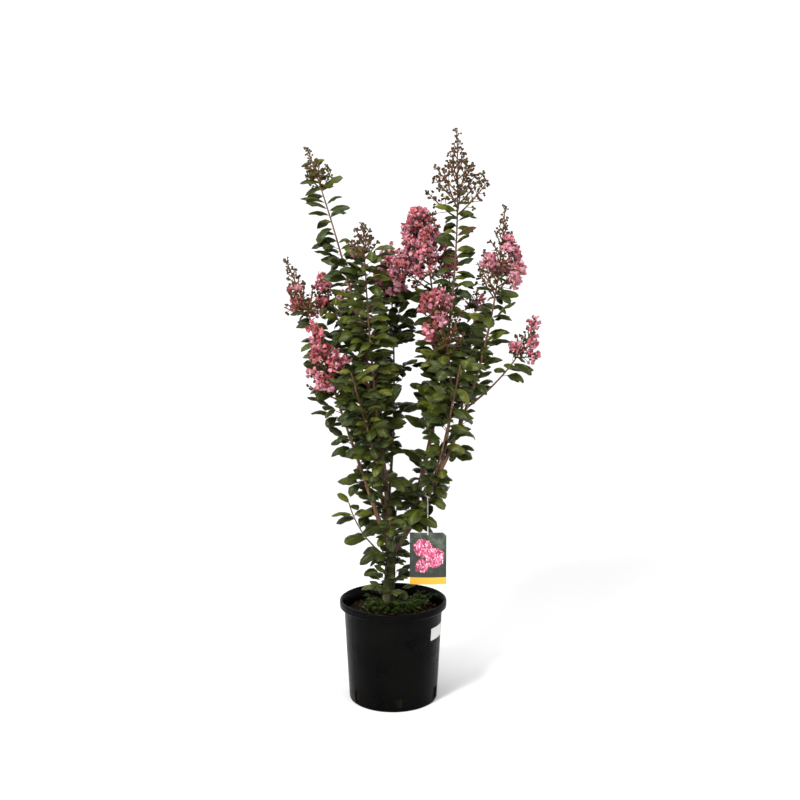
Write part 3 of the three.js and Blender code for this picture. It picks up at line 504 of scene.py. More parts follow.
def arc_place(s, rise, bend):
    """How far out and up an arch of length 1 has come at s, when it sets out at the rise and has turned
    down by the bend at its end: out (sin rise - sin e) / bend, up (cos e - cos rise) / bend, with e =
    rise - bend s."""
    e = rise - bend * s
    return (np.sin(rise) - np.sin(e)) / bend, (np.cos(e) - np.cos(rise)) / bend, e


def blades(root, heading, rise, bend, roll, length, fold, tone):
    """Leaves as flattened closed tubes of six rings. The midrib is an arch in the heading's upright plane;
    at t across, a point lies side t w(s) from it and fold t^2 w(s) below it, with a wave along the rim,
    the whole rolled about the midrib."""
    root, heading = (v.reshape(-1, 1, 1, 3) for v in (root, heading))
    rise, bend, roll, length, fold = (v.reshape(-1, 1, 1, 1) for v in (rise, bend, roll, length, fold))
    s = LEAF_STATIONS[:, None, None]
    t = LEAF_ACROSS[:, None]
    out, up, e = arc_place(s, rise, bend)
    middle = root + length * (heading * out + UP * up)
    normal = UP * np.cos(e) - heading * np.sin(e)
    level = np.cross(heading, UP)
    side = level * np.cos(roll) + normal * np.sin(roll)
    normal = normal * np.cos(roll) - level * np.sin(roll)
    breadth = LEAF_BREADTH[:, None, None] * length * LEAF_WIDTH / 2
    wave = 0.16 * np.sin(10 * s + 40 * roll + t) * t ** 2
    face = LEAF_FACE[:, None] * LEAF_THICKNESS / 2
    height = face + breadth * (wave - fold * t ** 2)
    body = middle + side * t * breadth * (1 - 0.25 * fold) + normal * height
    out, up, _e = arc_place(1.0, rise, bend)
    tip = root + length * (heading * out + UP * up)
    tones = np.where(np.arange(LEAF_SIDES) >= LEAF_SIDES // 2, UNDERSIDE, tone[:, None])
    return closed_tubes(root, body, tip, LEAF_ACROSS / 2 + 0.5, LEAF_STATIONS, tone=tones)


def leaf_rims(ends):
    """The edges of the mesh that run along a leaf's rim: both ends at t = 1 or both at t = -1 of one leaf."""
    place = ends % LEAF_POINTS
    inside = (place > 0) & (place < LEAF_POINTS - 1)
    across = (place - 1) % LEAF_SIDES
    return inside.all(1) & ((across == 0).all(1) | (across == LEAF_SIDES // 2).all(1))


class Growth:
    """What has grown so far, by kind (leaves, twigs, branches of flower heads, florets and buds) and
    region."""

    def __init__(self):
        self.items = defaultdict(list)
        self.leaf_middles = np.zeros((0, 3))

    def add(self, kind, region, *item):
        self.items[kind, region].append(item)

    def add_leaf(self, region, leaf, tone):
        """Adds the leaf unless its middle lies too near another leaf's, and says whether it did."""
        middle = leaf_point(leaf, 0.55)
        if (np.linalg.norm(self.leaf_middles - middle, axis=1) < LEAF_APART).any():
            return False
        self.leaf_middles = np.concatenate([self.leaf_middles, middle[None]])
        self.add("leaves", region, *leaf, tone)
        return True

    def columns(self, kind, region):
        """The items' fields, each as one array."""
        return [np.array(field) for field in zip(*self.items[kind, region])]


def drawn_leaf(foot, way, chance, size=1.0):
    """Root, heading, rise, bend, roll, length and fold of a leaf that sets out along the way, arches down and
    rolls its face a little to the light before it."""
    heading = unit(way * [1, 1, 0] + [1e-6, 0, 0])
    rise = float(np.clip(math.asin(np.clip(way[2], -1, 1)) * 0.8 + 0.5, 0.3, 1.15))
    rise += chance.uniform(-0.25, 0.25)
    roll = chance.uniform(-0.5, 0.5) - np.cross(heading, UP) @ LIGHT_SIDE * chance.uniform(0.0, 0.8)
    return (foot, heading, rise, chance.uniform(1.1, 2.4), roll,
            chance.uniform(*LEAF_LENGTH) * size, chance.uniform(0.3, 0.8))


def leaf_point(leaf, s, across=0.0):
    foot, heading, rise, bend, _roll, length, _fold = leaf
    out, up, _e = arc_place(s, rise, bend)
    return foot + length * (heading * out + UP * up) + np.cross(heading, UP) * across * length


def leaf_marks(leaf):
    return np.stack([leaf_point(leaf, 0.5, 0.22), leaf_point(leaf, 0.5, -0.22), leaf_point(leaf, 1.0)])


def spray_tone(chance, along, before=None):
    """0 deep, 1 middle, 2 fresh, 3 russet: fresher towards the tip; a leaf mostly keeps its spray's tone."""
    if before is not None and chance.random() < 0.75:
        return before
    odds = np.array([0.56 - 0.18 * along, 0.4, 0.07 + 0.09 * along, 0.01 + 0.015 * along])
    return int(chance.choice(4, p=odds / odds.sum()))


def grow_leafy(growth, name, number):
    """Crossed pairs up the stem. Where the reach allows, each is a twig that bears leaves in two ranks
    and one at its end, and elsewhere a leaf. What would leave the stem's space or crowd another leaf is
    left out, and a twig ends at the last leaf it bears."""
    shoot, stem, region = SHOOTS[name], STEMS[name], REGION_OF[name]
    low = LEAVES_FROM * shoot.bare
    high = shoot.head.start + 0.03 if shoot.head else 1.0
    chance = np.random.default_rng(100 + number)
    step, low_share, top_share, least = SPRAYS.get(name, SPRAY)
    pairs = max(2, round(stem.length * (high - low) / step))
    reach = shoot.reach - 0.5 * sum(LEAF_LENGTH) / 2
    t = TWIG[:, None]

    def add(leaf, tone):
        clear = not any(seen_in(leaf_point(leaf, s), SKY_GAPS) for s in (0.3, 0.6, 0.9))
        return (clear and in_space(leaf_marks(leaf), name, LEAF_SLACK).all()
                and growth.add_leaf(region, leaf, tone))

    for pair, half in product(range(pairs), (0, 1)):
        along = (pair + 0.3 * (1 + half)) / (pairs + 0.4)
        at = low + (high - low) * along
        turn = (pair / 2 + half) * math.pi + 0.8 * (chance.random() - 0.5) + number
        if along > TWO_RANKED.get(name, 1.0):
            turn = half * math.pi + 1.8 * (chance.random() - 0.5)
        rise = TWIG_RISE + chance.uniform(-0.1, 0.25)
        tangent = stem.along(at)
        way = off_stem(tangent, turn, rise)
        foot = stem.at(at) + unit(way - tangent * (way @ tangent)) * stem.radius_at(at) * 0.5
        share = low_share + (top_share - low_share) * along
        length = reach * share * chance.uniform(least, 1.15)
        tone = spray_tone(chance, along)
        size = LEAF_SIZES.get(name, 1.0) * (1.0 - 0.1 * along) * chance.uniform(0.9, 1.05)
        path = foot + way * length * t + UP * 0.12 * length * t ** 2
        if length < SHORTEST_TWIG or not in_space(path[2:], name, LEAF_SLACK).all():
            add(drawn_leaf(foot, way, chance, size), tone)
            continue
        ranks = max(1, round(length / TWIG_LEAF_STEP))
        borne = 0.0
        for rank in range(ranks):
            share = (rank + 0.75) / (ranks + 0.3)
            for hand in (-1, 1):
                lean = turned(way, UP, hand * chance.uniform(0.8, 1.25))
                leaf = drawn_leaf(on_line(path, TWIG, share), lean, chance, size)
                if add(leaf, spray_tone(chance, along, tone)):
                    borne = share
        if add(drawn_leaf(path[-1], unit(path[-1] - path[-2]), chance, size), tone):
            borne = 1.0
        if borne:
            girth = min(1.6, 0.45 * float(stem.radius_at(at)))
            growth.add("twigs", region, on_line(path, TWIG, borne * TWIG), np.linspace(girth, 0.7, 5))
    if not shoot.head:
        add(drawn_leaf(stem.at(0.99), stem.along(1.0), chance, 0.8), 2)


def grow_collar(growth):
    """Short side shoots low on the trunk, each with two pairs of small leaves and one at its end."""
    trunk = STEMS["trunk"]
    chance = np.random.default_rng(55)
    for height, turn in COLLAR:
        at = (height - TRUNK_FOOT[2]) / (TRUNK_TOP[2] - TRUNK_FOOT[2])
        way = off_stem(trunk.along(at), turn, 0.9)
        foot = trunk.at(at) + way * trunk.radius_at(at) * 0.6
        path = foot + way * chance.uniform(24, 40) * TWIG[:, None]
        growth.add("twigs", "left", path, np.linspace(1.3, 0.6, 5))
        for spot, hand in product((path[2], path[3]), (-1, 1)):
            lean = turned(way, UP, hand * chance.uniform(0.8, 1.2))
            growth.add_leaf("left", drawn_leaf(spot, lean, chance, chance.uniform(0.5, 0.7)), 0)
        growth.add_leaf("left", drawn_leaf(path[-1], way, chance, chance.uniform(0.6, 0.8)), 1)


# ---- Flower heads ----
def grow_panicle(growth, name, number, chance):
    """Branches up the head at the golden angle, shorter towards its tip and curved up, with sprigs all
    round their outer part, and a small leaf below some of the lowest. Gives each end: its place, way and
    share up the head."""
    head, stem, region = SHOOTS[name].head, STEMS[name], REGION_OF[name]
    spread, taper = HEAD_SHAPES.get(name, HEAD_SHAPE)
    leafy = 0.7 if name in YOUNG_HEADS else 0.3
    count = max(7, round(stem.length * (1 - head.start) / (BRANCH_STEP[0] + BRANCH_STEP[1] * head.width)))
    t = TWIG[:, None]
    ends = []
    for k in range(count):
        along = (k + 0.3) / count
        at = head.start + (1 - head.start) * along
        foot, tangent = stem.at(at), stem.along(at)
        length = max(7.0, spread * head.width * (1 - along) ** taper * chance.uniform(0.72, 1.08))
        turn = k * GOLDEN_TURN + number + chance.uniform(-0.25, 0.25)
        way = off_stem(tangent, turn, 0.98 - 0.25 * along + chance.uniform(-0.15, 0.12))
        path = foot + way * length * t + tangent * 0.22 * length * t ** 2
        if not in_space(path[-1:], name, HEAD_SLACK).all():
            continue
        growth.add("branches", region, path, np.linspace(2.5 - 0.9 * along, 1.3, 5))
        if along < leafy and chance.random() < 0.6:
            leaf = drawn_leaf(foot, off_stem(tangent, turn + 0.3, 1.2), chance, chance.uniform(0.35, 0.65))
            growth.add("leaves", region, *leaf, int(chance.choice([1, 2])))
        ends.append((path[-1], unit(path[-1] - path[-2]), along))
        sprigs = int(length * 0.75 / SPRIG_STEP)
        for m in range(sprigs):
            share = 0.28 + 0.68 * (m + 0.5) / sprigs
            long = max(6.0, (0.2 * length + 8) * (1.25 - share) * chance.uniform(0.7, 1.25))
            turn_at = m * GOLDEN_TURN + turn + chance.uniform(-0.4, 0.4)
            lean = off_stem(unit(way + 0.3 * tangent), turn_at, 0.9)
            twig = on_line(path, TWIG, share) + lean * long * t
            growth.add("branches", region, twig, np.linspace(1.0, 0.8, 5))
            ends.append((twig[-1], lean, along))
    return ends + [(stem.at(1.0), stem.along(1.0), 1.0)]


def grow_head(growth, name, number):
    """The head's branches; then, in an order by chance, each of their ends is an open floret where a
    clump is and no other floret is too near, or bears a few round buds on stalks, or nothing."""
    head, stem, region = SHOOTS[name].head, STEMS[name], REGION_OF[name]
    foot_share, tip_share = OPEN_SHARE[name]
    bud_size = YOUNG_HEADS.get(name, 1.0)
    bud_tones = [0, 2, 2] if name in YOUNG_HEADS else [0, 0, 1, 2]
    chance = np.random.default_rng(300 + number)
    ends = grow_panicle(growth, name, number, chance)
    centres = np.zeros((0, 3))
    for k in chance.permutation(len(ends)):
        point, way, along = ends[k]
        share = foot_share + (tip_share - foot_share) * along ** 0.6
        if name in CLUMPS:
            clumped = seen_in(point, CLUMPS[name])
        else:
            clumped = wave_noise(point, CLUMP_SIZE, number) > CLUMP_GAPS
        opened = clumped and chance.random() < (OPEN_IN_CLUMP if name in CLUMPS else share)
        budding = BUDS_IN_CLUMP if opened else 1.0 if share < 0.1 or clumped else 1 - BARE_ENDS
        outward = unit(point - stem.at(head.start + (1 - head.start) * along) + 1e-6)
        centre = point + way * 3.0
        free = (np.linalg.norm(centres - centre, axis=1) > FLORET_APART).all()
        if opened and free:
            centres = np.concatenate([centres, centre[None]])
            axis = unit(way * 0.5 + outward * 0.6 + UP * 0.1 + chance.normal(size=3) * 0.4)
            size = chance.uniform(*FLORET_RADIUS)
            # Painted light: florets that face up take paler petal finishes, as if lit from above; the head's
            # own shift and a random wander add to the tone.
            lit = 1.45 + HEAD_LIGHTER.get(name, 0.0) + 1.3 * outward[2] + 0.9 * wave_noise(point, 40.0, 5)
            tone = int(np.clip(lit + chance.uniform(-0.9, 0.9), 0, 3))
            growth.add("florets", region, centre, axis, size, chance.uniform(0, 6.28), tone)
        elif chance.random() < budding:
            for _ in range(int(chance.integers(2, 5))):
                lean = unit(way + chance.normal(size=3) * 0.6)
                stalk = chance.uniform(2.5, 6.0)
                size = chance.uniform(*BUD_RADIUS) * (1 - 0.25 * along) * bud_size
                path = point + lean * stalk * TWIG[:, None]
                growth.add("branches", region, path, np.linspace(0.75, 0.65, 5))
                tone = int(chance.choice(bud_tones))
                growth.add("buds", region, point + lean * (stalk + size * 0.6), lean, size, tone)


PETALS = 6                       # on a floret
PETAL_STATIONS = np.array([0.3, 0.5, 0.74, 0.96])
PETAL_BREADTH = np.array([0.04, 0.23, 0.38, 0.32])
PETAL_ACROSS = np.array([-1, -0.6, -0.2, 0.2, 0.6, 1, 0.6, 0.2, -0.2, -0.6])
PETAL_FACE = np.array([0, 1, 1, 1, 1, 0, -1, -1, -1, -1])
PETAL_RUFFLE = np.array([1, -1, 0.8, -0.8, 1, -1, 1, -0.8, 0.8, -1])
PETAL_HALF_THICKNESS = 0.15


def petals(centre, axis, radius, spin, tone, seed):
    """Six petals a floret as flattened closed tubes, each in a frame of its own: out at an angle between
    the floret's plane and its axis, side across and face over it. At s out and t across, a point lies at
    centre + out (s + notch) R + side t w(s) + face (ruffle(t) + cup (s - 0.4) |s - 0.4|). The claw is
    narrow, and the ruffle's sign is by chance at each s."""
    count, many = len(centre), len(centre) * PETALS
    chance = np.random.default_rng(seed)
    angle = spin[:, None] + np.arange(PETALS) * np.pi / 3 + chance.uniform(-0.25, 0.25, (count, PETALS))
    axis = axis[:, None]
    flat = turned(square_to(axis), axis, angle)
    side = np.cross(axis, flat)
    lean = chance.uniform(-0.35, 0.95, (count, PETALS, 1))
    out = flat * np.cos(lean) + axis * np.sin(lean)
    face = axis * np.cos(lean) - flat * np.sin(lean)
    roll = chance.uniform(-0.7, 0.7, (count, PETALS, 1))
    side, face = side * np.cos(roll) + face * np.sin(roll), face * np.cos(roll) - side * np.sin(roll)
    out, side, face = (v.reshape(many, 1, 1, 3) for v in (out, side, face))
    hub = np.repeat(centre, PETALS, 0).reshape(many, 1, 1, 3)
    size = np.repeat(radius, PETALS).reshape(many, 1, 1, 1) * chance.uniform(0.8, 1.12, (many, 1, 1, 1))
    cup = chance.uniform(-1.3, 1.6, (many, 1, 1, 1))
    wave = PETAL_RUFFLE[:, None] * chance.choice([-1.0, 1.0], (many, len(PETAL_STATIONS), 1, 1))
    s = PETAL_STATIONS[:, None, None]
    t = PETAL_ACROSS[:, None]
    breadth = PETAL_BREADTH[:, None, None] * size
    lift = size * (0.4 * wave * (s - 0.25) + cup * (s - 0.4) * np.abs(s - 0.4))
    reach = size * (s + 0.16 * wave * (s - 0.4) - 0.16 * (s - 0.3) * t ** 2)
    skin = PETAL_FACE[:, None] * PETAL_HALF_THICKNESS
    body = hub + out * reach + side * t * breadth + face * (lift + skin)
    tip = hub + size * (out + face * cup * 0.36)
    tones = np.clip(np.repeat(tone, PETALS) + chance.integers(-1, 2, many), 0, 3)
    return closed_tubes(hub, body, tip, PETAL_ACROSS / 2 + 0.5, PETAL_STATIONS, tone=tones[:, None])


def balls(centre, axis, radius, tone, rings=4, sides=6):
    """Round closed bodies: ring i at angle pi (i + 1) / (rings + 1) from the pole, with a pole at each
    end."""
    centre, axis = centre[:, None, None], axis[:, None, None]
    radius = radius.reshape(-1, 1, 1, 1)
    first = square_to(axis)
    second = np.cross(axis, first)
    polar = (np.pi * (1 + np.arange(rings)) / (rings + 1))[:, None, None]
    a = (np.arange(sides) * 2 * np.pi / sides)[:, None]
    flat = first * np.cos(a) + second * np.sin(a)
    body = centre + radius * flat * np.sin(polar) - radius * axis * np.cos(polar)
    return closed_tubes(centre - axis * radius, body, centre + axis * radius, tone=tone[:, None])


def stamens(centre, axis, radius, seed):
    """Five threads a floret, spread about its axis, each with a small pointed grain on its end."""
    chance = np.random.default_rng(seed)
    hub, axis, radius = (np.repeat(v, 5, 0) for v in (centre, axis, radius))
    many = len(hub)
    lean = unit(axis + chance.normal(size=(many, 3)) * 0.42)
    long = radius[:, None] * chance.uniform(0.35, 0.65, (many, 1))
    ends = hub + lean * long
    threads = sweep(np.stack([hub, ends], 1), np.full((many, 2), 0.3), sides=3)
    return together([threads, balls(ends, lean, np.full(many, 1.0), np.zeros(many, int), rings=1, sides=4)])


# ---- Finishes ----
class Paint:
    """A material, and the nodes that feed its shader."""

    def __init__(self, name):
        self.material = bpy.data.materials.new(name)
        self.material.use_nodes = True
        self.tree = self.material.node_tree
        self.shader = self.tree.nodes["Principled BSDF"]

    def feed(self, socket, value):
        """Links the socket to another or sets its value; a colour is three numbers."""
        if isinstance(value, bpy.types.NodeSocket):
            self.tree.links.new(value, socket)
        else:
            socket.default_value = (*value, 1) if socket.type == "RGBA" else value

    def node(self, kind, inputs, **settings):
        made = self.tree.nodes.new("ShaderNode" + kind)
        for key, value in settings.items():
            setattr(made, key, value)
        for key, value in inputs.items():
            self.feed(made.inputs[key], value)
        return made

    def place(self, stretch=(1, 1, 1), source="Object"):
        """Object or UV coordinates, stretched."""
        coordinates = self.node("TexCoord", {}).outputs[source]
        return self.node("Mapping", {"Vector": coordinates, "Scale": stretch}).outputs["Vector"]

    def axes(self, vector):
        """The X and Y of a vector."""
        split = self.node("SeparateXYZ", {"Vector": vector})
        return split.outputs["X"], split.outputs["Y"]

    def noise(self, scale, detail=4.0, stretch=(1, 1, 1), source="Object"):
        inputs = {"Vector": self.place(stretch, source), "Scale": scale, "Detail": detail, "Roughness": 0.55}
        return self.node("TexNoise", inputs).outputs["Fac"]

    def ramp(self, value, *stops):
        """Colours or greys read off a value: a stop is (position, colour or grey)."""
        made = self.node("ValToRGB", {"Fac": value})
        points = made.color_ramp.elements
        while len(points) < len(stops):
            points.new(0.5)
        for point, (position, colour) in zip(points, stops):
            point.position = position
            point.color = (*np.broadcast_to(colour, 3), 1)
        return made.outputs["Color"]

    def mix(self, share, first, second):
        return self.node("Mix", {0: share, 6: first, 7: second}, data_type="RGBA").outputs[2]

    def math(self, how, first, second=0.0):
        return self.node("Math", {0: first, 1: second}, operation=how).outputs[0]

    def weighed(self, first, share, second, other):
        """The sum of two values by their weights."""
        return self.math("ADD", self.math("MULTIPLY", first, share), self.math("MULTIPLY", second, other))

    def done(self, colour, rough, gloss=0.5, relief=None, sheen=0.0):
        """Feeds the shader: colour, roughness, gloss, sheen and the relief's height, strength and depth
        in metres."""
        given = {"Base Color": colour, "Roughness": rough, "Specular IOR Level": gloss, "Sheen Weight": sheen}
        for key, value in given.items():
            self.feed(self.shader.inputs[key], value)
        if relief:
            made = self.node("Bump", dict(zip(("Height", "Strength", "Distance"), relief)))
            self.feed(self.shader.inputs["Normal"], made.outputs["Normal"])
        return self.material


def black_plastic():
    """Near black, satin, with broad smudges and a fine moulded grain."""
    paint = Paint("pot_black_plastic")
    smudge = paint.noise(9.0)
    colour = paint.ramp(smudge, (0.35, 0.0008), (0.7, (0.0024, 0.0024, 0.0022)))
    rough = paint.ramp(smudge, (0.3, 0.24), (0.75, 0.36))
    return paint.done(colour, rough, 0.03, (paint.noise(900.0, 2.0), 0.25, 0.0004))


def bark_mix():
    """Dark clods with a fine crumb."""
    paint = Paint("potting_mix_brown")
    clods = paint.noise(70.0, 6.0)
    colour = paint.ramp(clods, (0.3, (0.004, 0.0026, 0.0014)), (0.72, (0.024, 0.014, 0.007)))
    return paint.done(colour, 0.95, 0.05, (paint.math("ADD", clods, paint.noise(420.0, 3.0)), 0.8, 0.004))


def trunk_bark():
    """Greenish grey, mottled, with long pale strips where thin bark has flaked. The bark is made paler
    towards the left, which is painted light falling from that side, and its greys are kept dark as painted
    shade of the crown.
    """
    paint = Paint("trunk_bark")
    long = paint.noise(60.0, 5.0, (1, 1, 0.22))
    patch = paint.noise(26.0, 2.0, (1, 1, 0.3))
    fine = paint.noise(380.0, 4.0, (1, 1, 0.4))
    # Painted shade: these bark greys are darkened to stand for the shade the crown casts on the trunk.
    base = paint.ramp(long, (0.3, (0.009, 0.01, 0.003)), (0.55, (0.02, 0.022, 0.007)),
                      (0.75, (0.042, 0.041, 0.015)))
    # Painted light: the bark turns paler towards -X, the lit left side, on top of the real flaked strips.
    x, _y = paint.axes(paint.place())
    painted_light_on_left = paint.math("MULTIPLY", paint.math("SUBTRACT", -0.006, x), 9.0)
    pale = paint.ramp(paint.math("ADD", patch, painted_light_on_left), (0.6, 0), (0.68, 1))
    relief = paint.math("ADD", long, paint.math("MULTIPLY", fine, 0.4))
    return paint.done(paint.mix(pale, base, (0.15, 0.145, 0.07)), 0.85, 0.15, (relief, 0.7, 0.003))


def stem_bark(name, dark, middle, light, rough=0.5):
    """Young bark: reddish brown streaked with tan, with small raised pores."""
    paint = Paint(name)
    long = paint.noise(110.0, 5.0, (1, 1, 0.18))
    colour = paint.ramp(long, (0.3, dark), (0.5, middle), (0.72, light))
    return paint.done(colour, rough, 0.25, (paint.math("ADD", long, paint.noise(520.0, 2.0)), 0.5, 0.001))


def leaf_finish(name, dark, light, vein, gloss=0.2, rough=(0.3, 0.45)):
    """A green that shifts over the blade, with a paler midrib and side veins raised under a waxy gloss."""
    paint = Paint(name)
    across, upward = paint.axes(paint.place(source="UV"))
    off = paint.math("ABSOLUTE", paint.math("SUBTRACT", across, 0.5))
    slanted = paint.math("SUBTRACT", upward, paint.math("MULTIPLY", off, 0.55))
    ribs = paint.math("SINE", paint.math("MULTIPLY", slanted, 75.0))
    mottle = paint.noise(90.0, 3.0)
    base = paint.ramp(paint.weighed(paint.noise(22.0, 2.0), 0.7, mottle, 0.3), (0.36, dark), (0.64, light))
    midrib = paint.ramp(off, (0.015, 1), (0.045, 0))
    side_veins = paint.ramp(ribs, (0.9, 0), (1.0, 0.3))
    colour = paint.mix(side_veins, paint.mix(midrib, base, vein), vein)
    relief = paint.math("ADD", paint.math("MULTIPLY", ribs, -0.3), off)
    rough = paint.ramp(mottle, (0.3, rough[0]), (0.7, rough[1]))
    return paint.done(colour, rough, gloss, (relief, 0.35, 0.0012))


def petal_finish(name, deep, pale):
    """Crinkled petal: deeper towards its narrow claw, paler at its rim, with fine creases."""
    paint = Paint(name)
    _across, out = paint.axes(paint.place(source="UV"))
    creases = paint.noise(380.0, 3.0)
    shift = paint.math("ADD", out, paint.math("MULTIPLY", creases, 0.5))
    colour = paint.ramp(shift, (0.45, deep), (0.8, pale))
    return paint.done(colour, 0.6, relief=(creases, 0.6, 0.0015), sheen=0.15)


def grainy(name, dark, light, rough, gloss, grain, relief, stops=(0.3, 0.7)):
    """One noise shifts between two colours and is the relief too: grain is its scale and detail, relief
    its strength and depth."""
    paint = Paint(name)
    noise = paint.noise(*grain)
    return paint.done(paint.ramp(noise, (stops[0], dark), (stops[1], light)), rough, gloss, (noise, *relief))


def chip_finish(name, dark, light):
    """Shredded bark: coarse grain and a dull face."""
    return grainy(name, dark, light, 0.85, 0.1, (160.0, 5.0), (0.6, 0.0015))


def bud_finish(name, dark, light):
    return grainy(name, dark, light, 0.5, 0.2, (240.0, 3.0), (0.4, 0.0008), (0.35, 0.65))


def plain_finish(name, dark, light, rough):
    """A near-even colour with a faint grain."""
    return grainy(name, dark, light, rough, 0.5, (300.0, 3.0), (0.15, 0.0003))


def card_print():
    """A plain garden picture: round pink blossom clusters on a dark green ground, over a straight amber
    band."""
    paint = Paint("card_print")
    uv = paint.place(source="UV")
    x, y = paint.axes(uv)
    picture = paint.ramp(
        paint.math("ADD", paint.noise(4.0, 3.0, (1, 1.4, 1), "UV"), paint.math("MULTIPLY", y, 0.25)),
        (0.55, (0.006, 0.011, 0.004)), (0.72, (0.02, 0.03, 0.014)), (0.9, (0.09, 0.11, 0.08)))
    cells = paint.node("TexVoronoi", {"Vector": uv, "Scale": 30.0, "Randomness": 1.0}).outputs
    tint, _green = paint.axes(cells["Color"])
    petal = paint.ramp(tint, (0.1, (0.5, 0.03, 0.12)), (0.45, (0.8, 0.12, 0.3)), (0.75, (0.9, 0.35, 0.5)),
                       (0.95, (0.95, 0.7, 0.8)))
    gap = paint.ramp(cells["Distance"], (0.45, 0), (0.75, 1))
    bloom = paint.mix(gap, petal, (0.22, 0.012, 0.03))
    ragged = paint.math("MULTIPLY", paint.noise(14.0, source="UV"), 0.13)
    for centre_x, centre_y, radius in ((0.36, 0.7, 0.24), (0.66, 0.52, 0.25), (0.33, 0.36, 0.19)):
        across = paint.math("MULTIPLY", paint.math("SUBTRACT", x, centre_x), 0.7)
        upward = paint.math("SUBTRACT", y, centre_y)
        squares = [paint.math("POWER", side, 2.0) for side in (across, upward)]
        far = paint.math("ADD", paint.math("SQRT", paint.math("ADD", *squares)), ragged)
        picture = paint.mix(paint.ramp(far, (radius - 0.01, 1), (radius + 0.01, 0)), picture, bloom)
    band = paint.ramp(y, (0.13, 1), (0.14, 0))
    return paint.done(paint.mix(band, picture, (0.75, 0.36, 0.02)), 0.3)


def each(make, *rows):
    return [make(*row) for row in rows]


# what a piece's face numbers stand for
FINISHES = {
    "pot": [black_plastic()],
    "mix": [bark_mix()],
    "chips": each(
        chip_finish,
        ("bark_chip_dark", (0.004, 0.0026, 0.0015), (0.016, 0.0095, 0.005)),
        ("bark_chip_red", (0.014, 0.006, 0.003), (0.05, 0.023, 0.011)),
        ("bark_chip_pale", (0.06, 0.042, 0.024), (0.2, 0.155, 0.1))),
    "trunk": [trunk_bark()],
    "bough": each(
        stem_bark, ("bough_bark", (0.022, 0.012, 0.006), (0.055, 0.031, 0.017), (0.16, 0.108, 0.06), 0.62)),
    "stem": [stem_bark("stem_bark", (0.044, 0.0175, 0.008), (0.1, 0.046, 0.022), (0.195, 0.11, 0.06))],
    "twig": [stem_bark("twig_bark", (0.05, 0.03, 0.015), (0.1, 0.06, 0.03), (0.15, 0.1, 0.06))],
    "leaves": each(
        leaf_finish,
        ("leaf_deep", (0.0095, 0.016, 0.0009), (0.0225, 0.034, 0.0022), (0.057, 0.069, 0.0115)),
        ("leaf_middle", (0.021, 0.0295, 0.0016), (0.044, 0.057, 0.0033), (0.086, 0.099, 0.013)),
        ("leaf_fresh", (0.044, 0.052, 0.003), (0.082, 0.091, 0.006), (0.134, 0.134, 0.022)),
        ("leaf_russet", (0.035, 0.018, 0.006), (0.07, 0.036, 0.01), (0.11, 0.065, 0.027)),
        # The underside: partly the back's own duller green, partly painted shade, darkened as the unlit back
        # of a leaf.
        ("leaf_underside", (0.022, 0.028, 0.0045), (0.041, 0.047, 0.009), (0.07, 0.075, 0.022), 0.2,
         (0.6, 0.75))),
    # The low growth's finishes: partly its own darker green, partly painted shade of the crown's shadow, so
    # they are much darker than the leaves above.
    "low_leaves_painted_shade": each(
        leaf_finish,
        ("low_leaf_deep", (0.004, 0.01, 0.001), (0.008, 0.02, 0.002), (0.014, 0.026, 0.004), 0.06),
        ("low_leaf_middle", (0.008, 0.018, 0.0015), (0.016, 0.034, 0.003), (0.025, 0.04, 0.008), 0.06),
        ("low_leaf_fresh", (0.014, 0.03, 0.002), (0.03, 0.055, 0.005), (0.045, 0.065, 0.01), 0.06),
        ("low_leaf_dull", (0.006, 0.011, 0.002), (0.011, 0.018, 0.003), (0.02, 0.027, 0.007), 0.06),
        ("low_leaf_underside", (0.008, 0.012, 0.003), (0.014, 0.02, 0.005), (0.024, 0.03, 0.01), 0.03)),
    "petals": each(
        petal_finish,
        ("petal_deep", (0.13, 0.006, 0.0085), (0.24, 0.018, 0.024)),
        ("petal_middle", (0.24, 0.013, 0.019), (0.38, 0.042, 0.056)),
        ("petal_pink", (0.31, 0.026, 0.041), (0.47, 0.085, 0.118)),
        ("petal_pale", (0.39, 0.06, 0.09), (0.6, 0.22, 0.29))),
    "buds": each(
        bud_finish,
        ("bud_brown", (0.021, 0.0095, 0.002), (0.071, 0.034, 0.0075)),
        ("bud_maroon", (0.028, 0.0075, 0.0045), (0.09, 0.028, 0.0135)),
        ("calyx_green", (0.024, 0.022, 0.003), (0.08, 0.07, 0.01))),
    "panicle": each(
        stem_bark, ("panicle_branch", (0.034, 0.013, 0.004), (0.096, 0.038, 0.011), (0.165, 0.075, 0.025))),
    "stamen": [plain_finish("stamen_gold", (0.35, 0.17, 0.03), (0.5, 0.3, 0.06), 0.6)],
    "card": [card_print(), plain_finish("card_white", (0.66, 0.66, 0.64), (0.72, 0.72, 0.7), 0.35)],
    "strap": [plain_finish("strap_pale", (0.62, 0.6, 0.55), (0.74, 0.72, 0.66), 0.4)],
    "label": [plain_finish("label_white", (0.44, 0.44, 0.43), (0.52, 0.52, 0.51), 0.55)] * 2,
}


# ---- Pot ----
FRAME_WIDTH = 2.2                # of the low frame round each slot
FRAME_PROUD = 0.8
FRAME_BEVEL = 0.006              # round the wall, in radians
POT_CORNERS = math.radians(35)


def pot_radius(z):
    return POT_FOOT + (POT_MOUTH - POT_FOOT) * z / POT_BODY_HEIGHT


